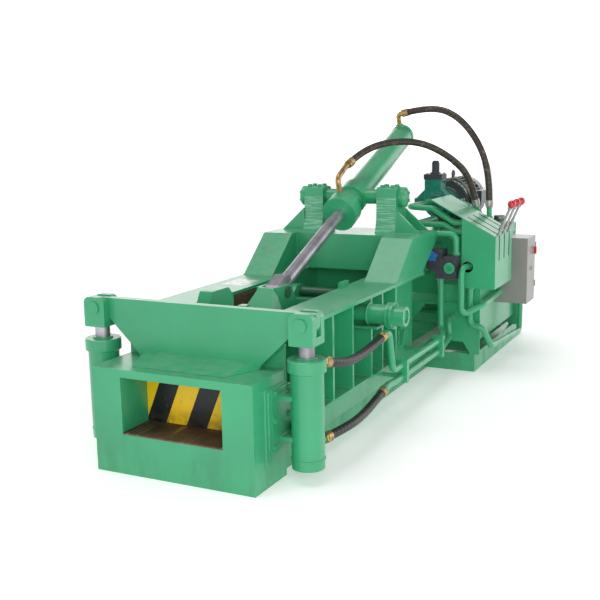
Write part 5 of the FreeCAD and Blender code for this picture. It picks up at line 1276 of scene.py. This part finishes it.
# %% Pipes of the power pack
PIPE_RADIUS, PIPE_SIDES, PIPE_RINGS = 0.019, 20, 130
COLLAR = [(-0.0005, 0.0235), (0.001, 0.0250), (0.016, 0.0250), (0.0175, 0.0235)]
PACK_PIPES = [                         # bend radius and corners of each pipe
    (0.045, [(0.275, 2.764, 1.055), (0.275, 2.350, 1.064), (0.440, 2.350, 1.056),
             (0.575, 2.350, 0.970), (0.645, 2.350, 0.970)]),
    (0.042, [(0.645, 2.352, 0.912), (0.585, 2.352, 0.912), (0.510, 2.352, 0.956),
             (0.330, 2.352, 0.956), (0.330, 2.737, 0.956), (0.330, 2.737, 0.870)]),
    (0.042, [(0.617, 2.275, 0.775), (0.617, 2.275, 0.907), (0.392, 2.275, 0.907),
             (0.392, 2.275, 0.640), (0.392, 2.705, 0.640)]),
    (0.045, [(0.480, 2.850, 1.040), (0.538, 2.850, 1.040), (0.538, 2.640, 0.902),
             (0.538, 2.395, 0.872), (0.645, 2.395, 0.872)]),
    (0.060, [(0.446, 2.225, 0.800), (0.350, 2.225, 0.800), (0.350, 2.705, 0.800)]),
    (0.042, [(0.685, 2.350, 0.700), (0.6645, 2.240, 0.700), (0.6645, 2.236, 0.395),
             (0.774, 2.380, 0.457), (0.774, 2.805, 0.474), (0.712, 2.805, 0.474)]),
    (0.042, [(0.690, 2.350, 0.565), (0.690, 2.350, 0.325), (0.775, 2.352, 0.303),
             (0.806, 2.440, 0.172), (0.806, 3.200, 0.122), (0.806, 3.205, 0.340),
             (0.712, 3.205, 0.340)])]
mesh = bmesh.new()
for number, (bend, route) in enumerate(PACK_PIPES, 1):
    pipe, _, reach = tube(f"pack_pipe_{number}", bent(route, bend), PIPE_RADIUS, machine_green,
                          PIPE_SIDES, PIPE_RINGS)
    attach(pipe, "machine")
    if number == 1:
        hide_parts("pressure_pipes")
    for end, towards in ((route[0], route[1]), (route[-1], route[-2])):
        turned(mesh, end, Vector(towards) - Vector(end), COLLAR, 28)
    print(pipe.name, "is", round(reach, 3), "m long")
built("pipe_collars", mesh, machine_green, "machine")

# %% [markdown]
# ## Drain line of the pump
# A thin bent steel line takes leak oil from the pump's tower back to the block on the tank. It
# is rigid, so it is a plain tube along a smooth line, not a hose.

# %% Drain line
DRAIN_RADIUS, DRAIN_SIDES, DRAIN_RINGS = 0.0075, 14, 160
drain_path = smooth_line("drain", [
    (0.340, 2.850, 1.190), (0.372, 2.850, 1.194), (0.440, 2.846, 1.232), (0.520, 2.830, 1.150),
    (0.600, 2.800, 1.020), (0.6375, 2.784, 0.990), (0.6375, 2.782, 0.952)])
drain, _, drain_length = tube("drain_line", drain_path, DRAIN_RADIUS, screw_zinc, DRAIN_SIDES,
                              DRAIN_RINGS)
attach(drain, "machine")
print("drain line is", round(drain_length, 3), "m long")

# %% [markdown]
# ## Floor and light
# The machine stands on a plain pale floor in a bright hall. The background is brightest low down
# behind the machine, so that level enamel, seen at a shallow angle, mirrors it as a pale glare,
# and it is dimmer overhead, so that the bays between the ribs stay dark. A soft sun lights the
# floor evenly to the horizon.

# %% Floor
bpy.ops.mesh.primitive_plane_add(size=60, location=(0, 1.8, 0))
floor = bpy.context.object
floor.name = "studio_floor"
ground = Finish("studio_floor")
ground.done(base_color=ground.mix(ground.noise(0.8, 3) * 0.1, shade(253, 253, 253),
                                  shade(247, 247, 247)), roughness=0.8,
           emission_color=shade(255, 255, 255), emission_strength=0.28)
floor.data.materials.append(ground.material)
print("floor is", round(floor.dimensions.x), "m wide")


# %% Background
class Sky(Finish):
    """The same way of writing nodes, for the background."""

    def __init__(self, world):
        world.use_nodes = True
        self.tree = world.node_tree


world = bpy.data.worlds.new("hall")
bpy.context.scene.world = world
sky = Sky(world)
_, ahead, height = sky.split(sky.node("ShaderNodeTexCoord", out="Generated"))
low_band = 1 - height.ramp(0.22, 0.62)
OVERHEAD, ALL_ROUND = 0.26, 0.60
strength = OVERHEAD + low_band * (ALL_ROUND + ahead.ramp(-0.3, 0.6))
sky.plug(world.node_tree.nodes["Background"].inputs["Strength"], strength)
world.node_tree.nodes["Background"].inputs["Color"].default_value = (1, 1, 1, 1)
bpy.context.scene.view_settings.view_transform = "Standard"
print("background:", world.name)


# %% Lamps
def lamp(name, kind, place, target, size, energy):
    """A lamp that looks at a target; a sun's size is an angle, an area lamp's is in metres."""
    light = bpy.data.lights.new(name, kind)
    light.energy = energy
    if kind == "SUN":
        light.angle = size
    else:
        light.size = size
    holder = bpy.data.objects.new(name, light)
    holder.location = place
    holder.rotation_euler = (Vector(target) - Vector(place)).to_track_quat("-Z", "Y").to_euler()
    bpy.context.collection.objects.link(holder)


lamp("lamp_sun", "SUN", (-1.5, 0, 9), (0, 1.5, 0), math.radians(40), 1.05)
lamp("lamp_front", "AREA", (3.4, -3.8, 2.2), (0.3, 0.6, 0.35), 2.4, 95)
print(len(bpy.data.lights), "lamps")

# %% [markdown]
# ## Camera
# The camera stands where the photographer stood, at eye height. Its turn and its focal length
# were worked out from the straight edges of the frame, which meet at far points of the picture.
# Placing it by eye would need many tries, and each would shift every edge a little.

# %% Camera
YAW, PITCH, ROLL = 0.467376, 0.186560, -0.019005
FOCAL_SHARE = 932.843 / 600            # focal length in picture widths
EYE = Vector((2.34775, -3.33347, 1.600))
forward = Vector((-math.sin(YAW) * math.cos(PITCH), math.cos(YAW) * math.cos(PITCH),
                  -math.sin(PITCH)))
level = Vector((math.cos(YAW), math.sin(YAW), 0))
upward = level.cross(forward)
right = math.cos(ROLL) * level + math.sin(ROLL) * upward
upward = -math.sin(ROLL) * level + math.cos(ROLL) * upward
lens = bpy.data.cameras.new("camera")
lens.sensor_width = 36.0
lens.lens = FOCAL_SHARE * lens.sensor_width
camera = bpy.data.objects.new("camera", lens)
turn = Matrix((right, upward, -forward)).transposed().to_4x4()
camera.matrix_world = Matrix.Translation(EYE) @ turn
bpy.context.collection.objects.link(camera)
bpy.context.scene.camera = camera
print("lens", round(lens.lens, 1), "mm on a", lens.sensor_width, "mm sensor")
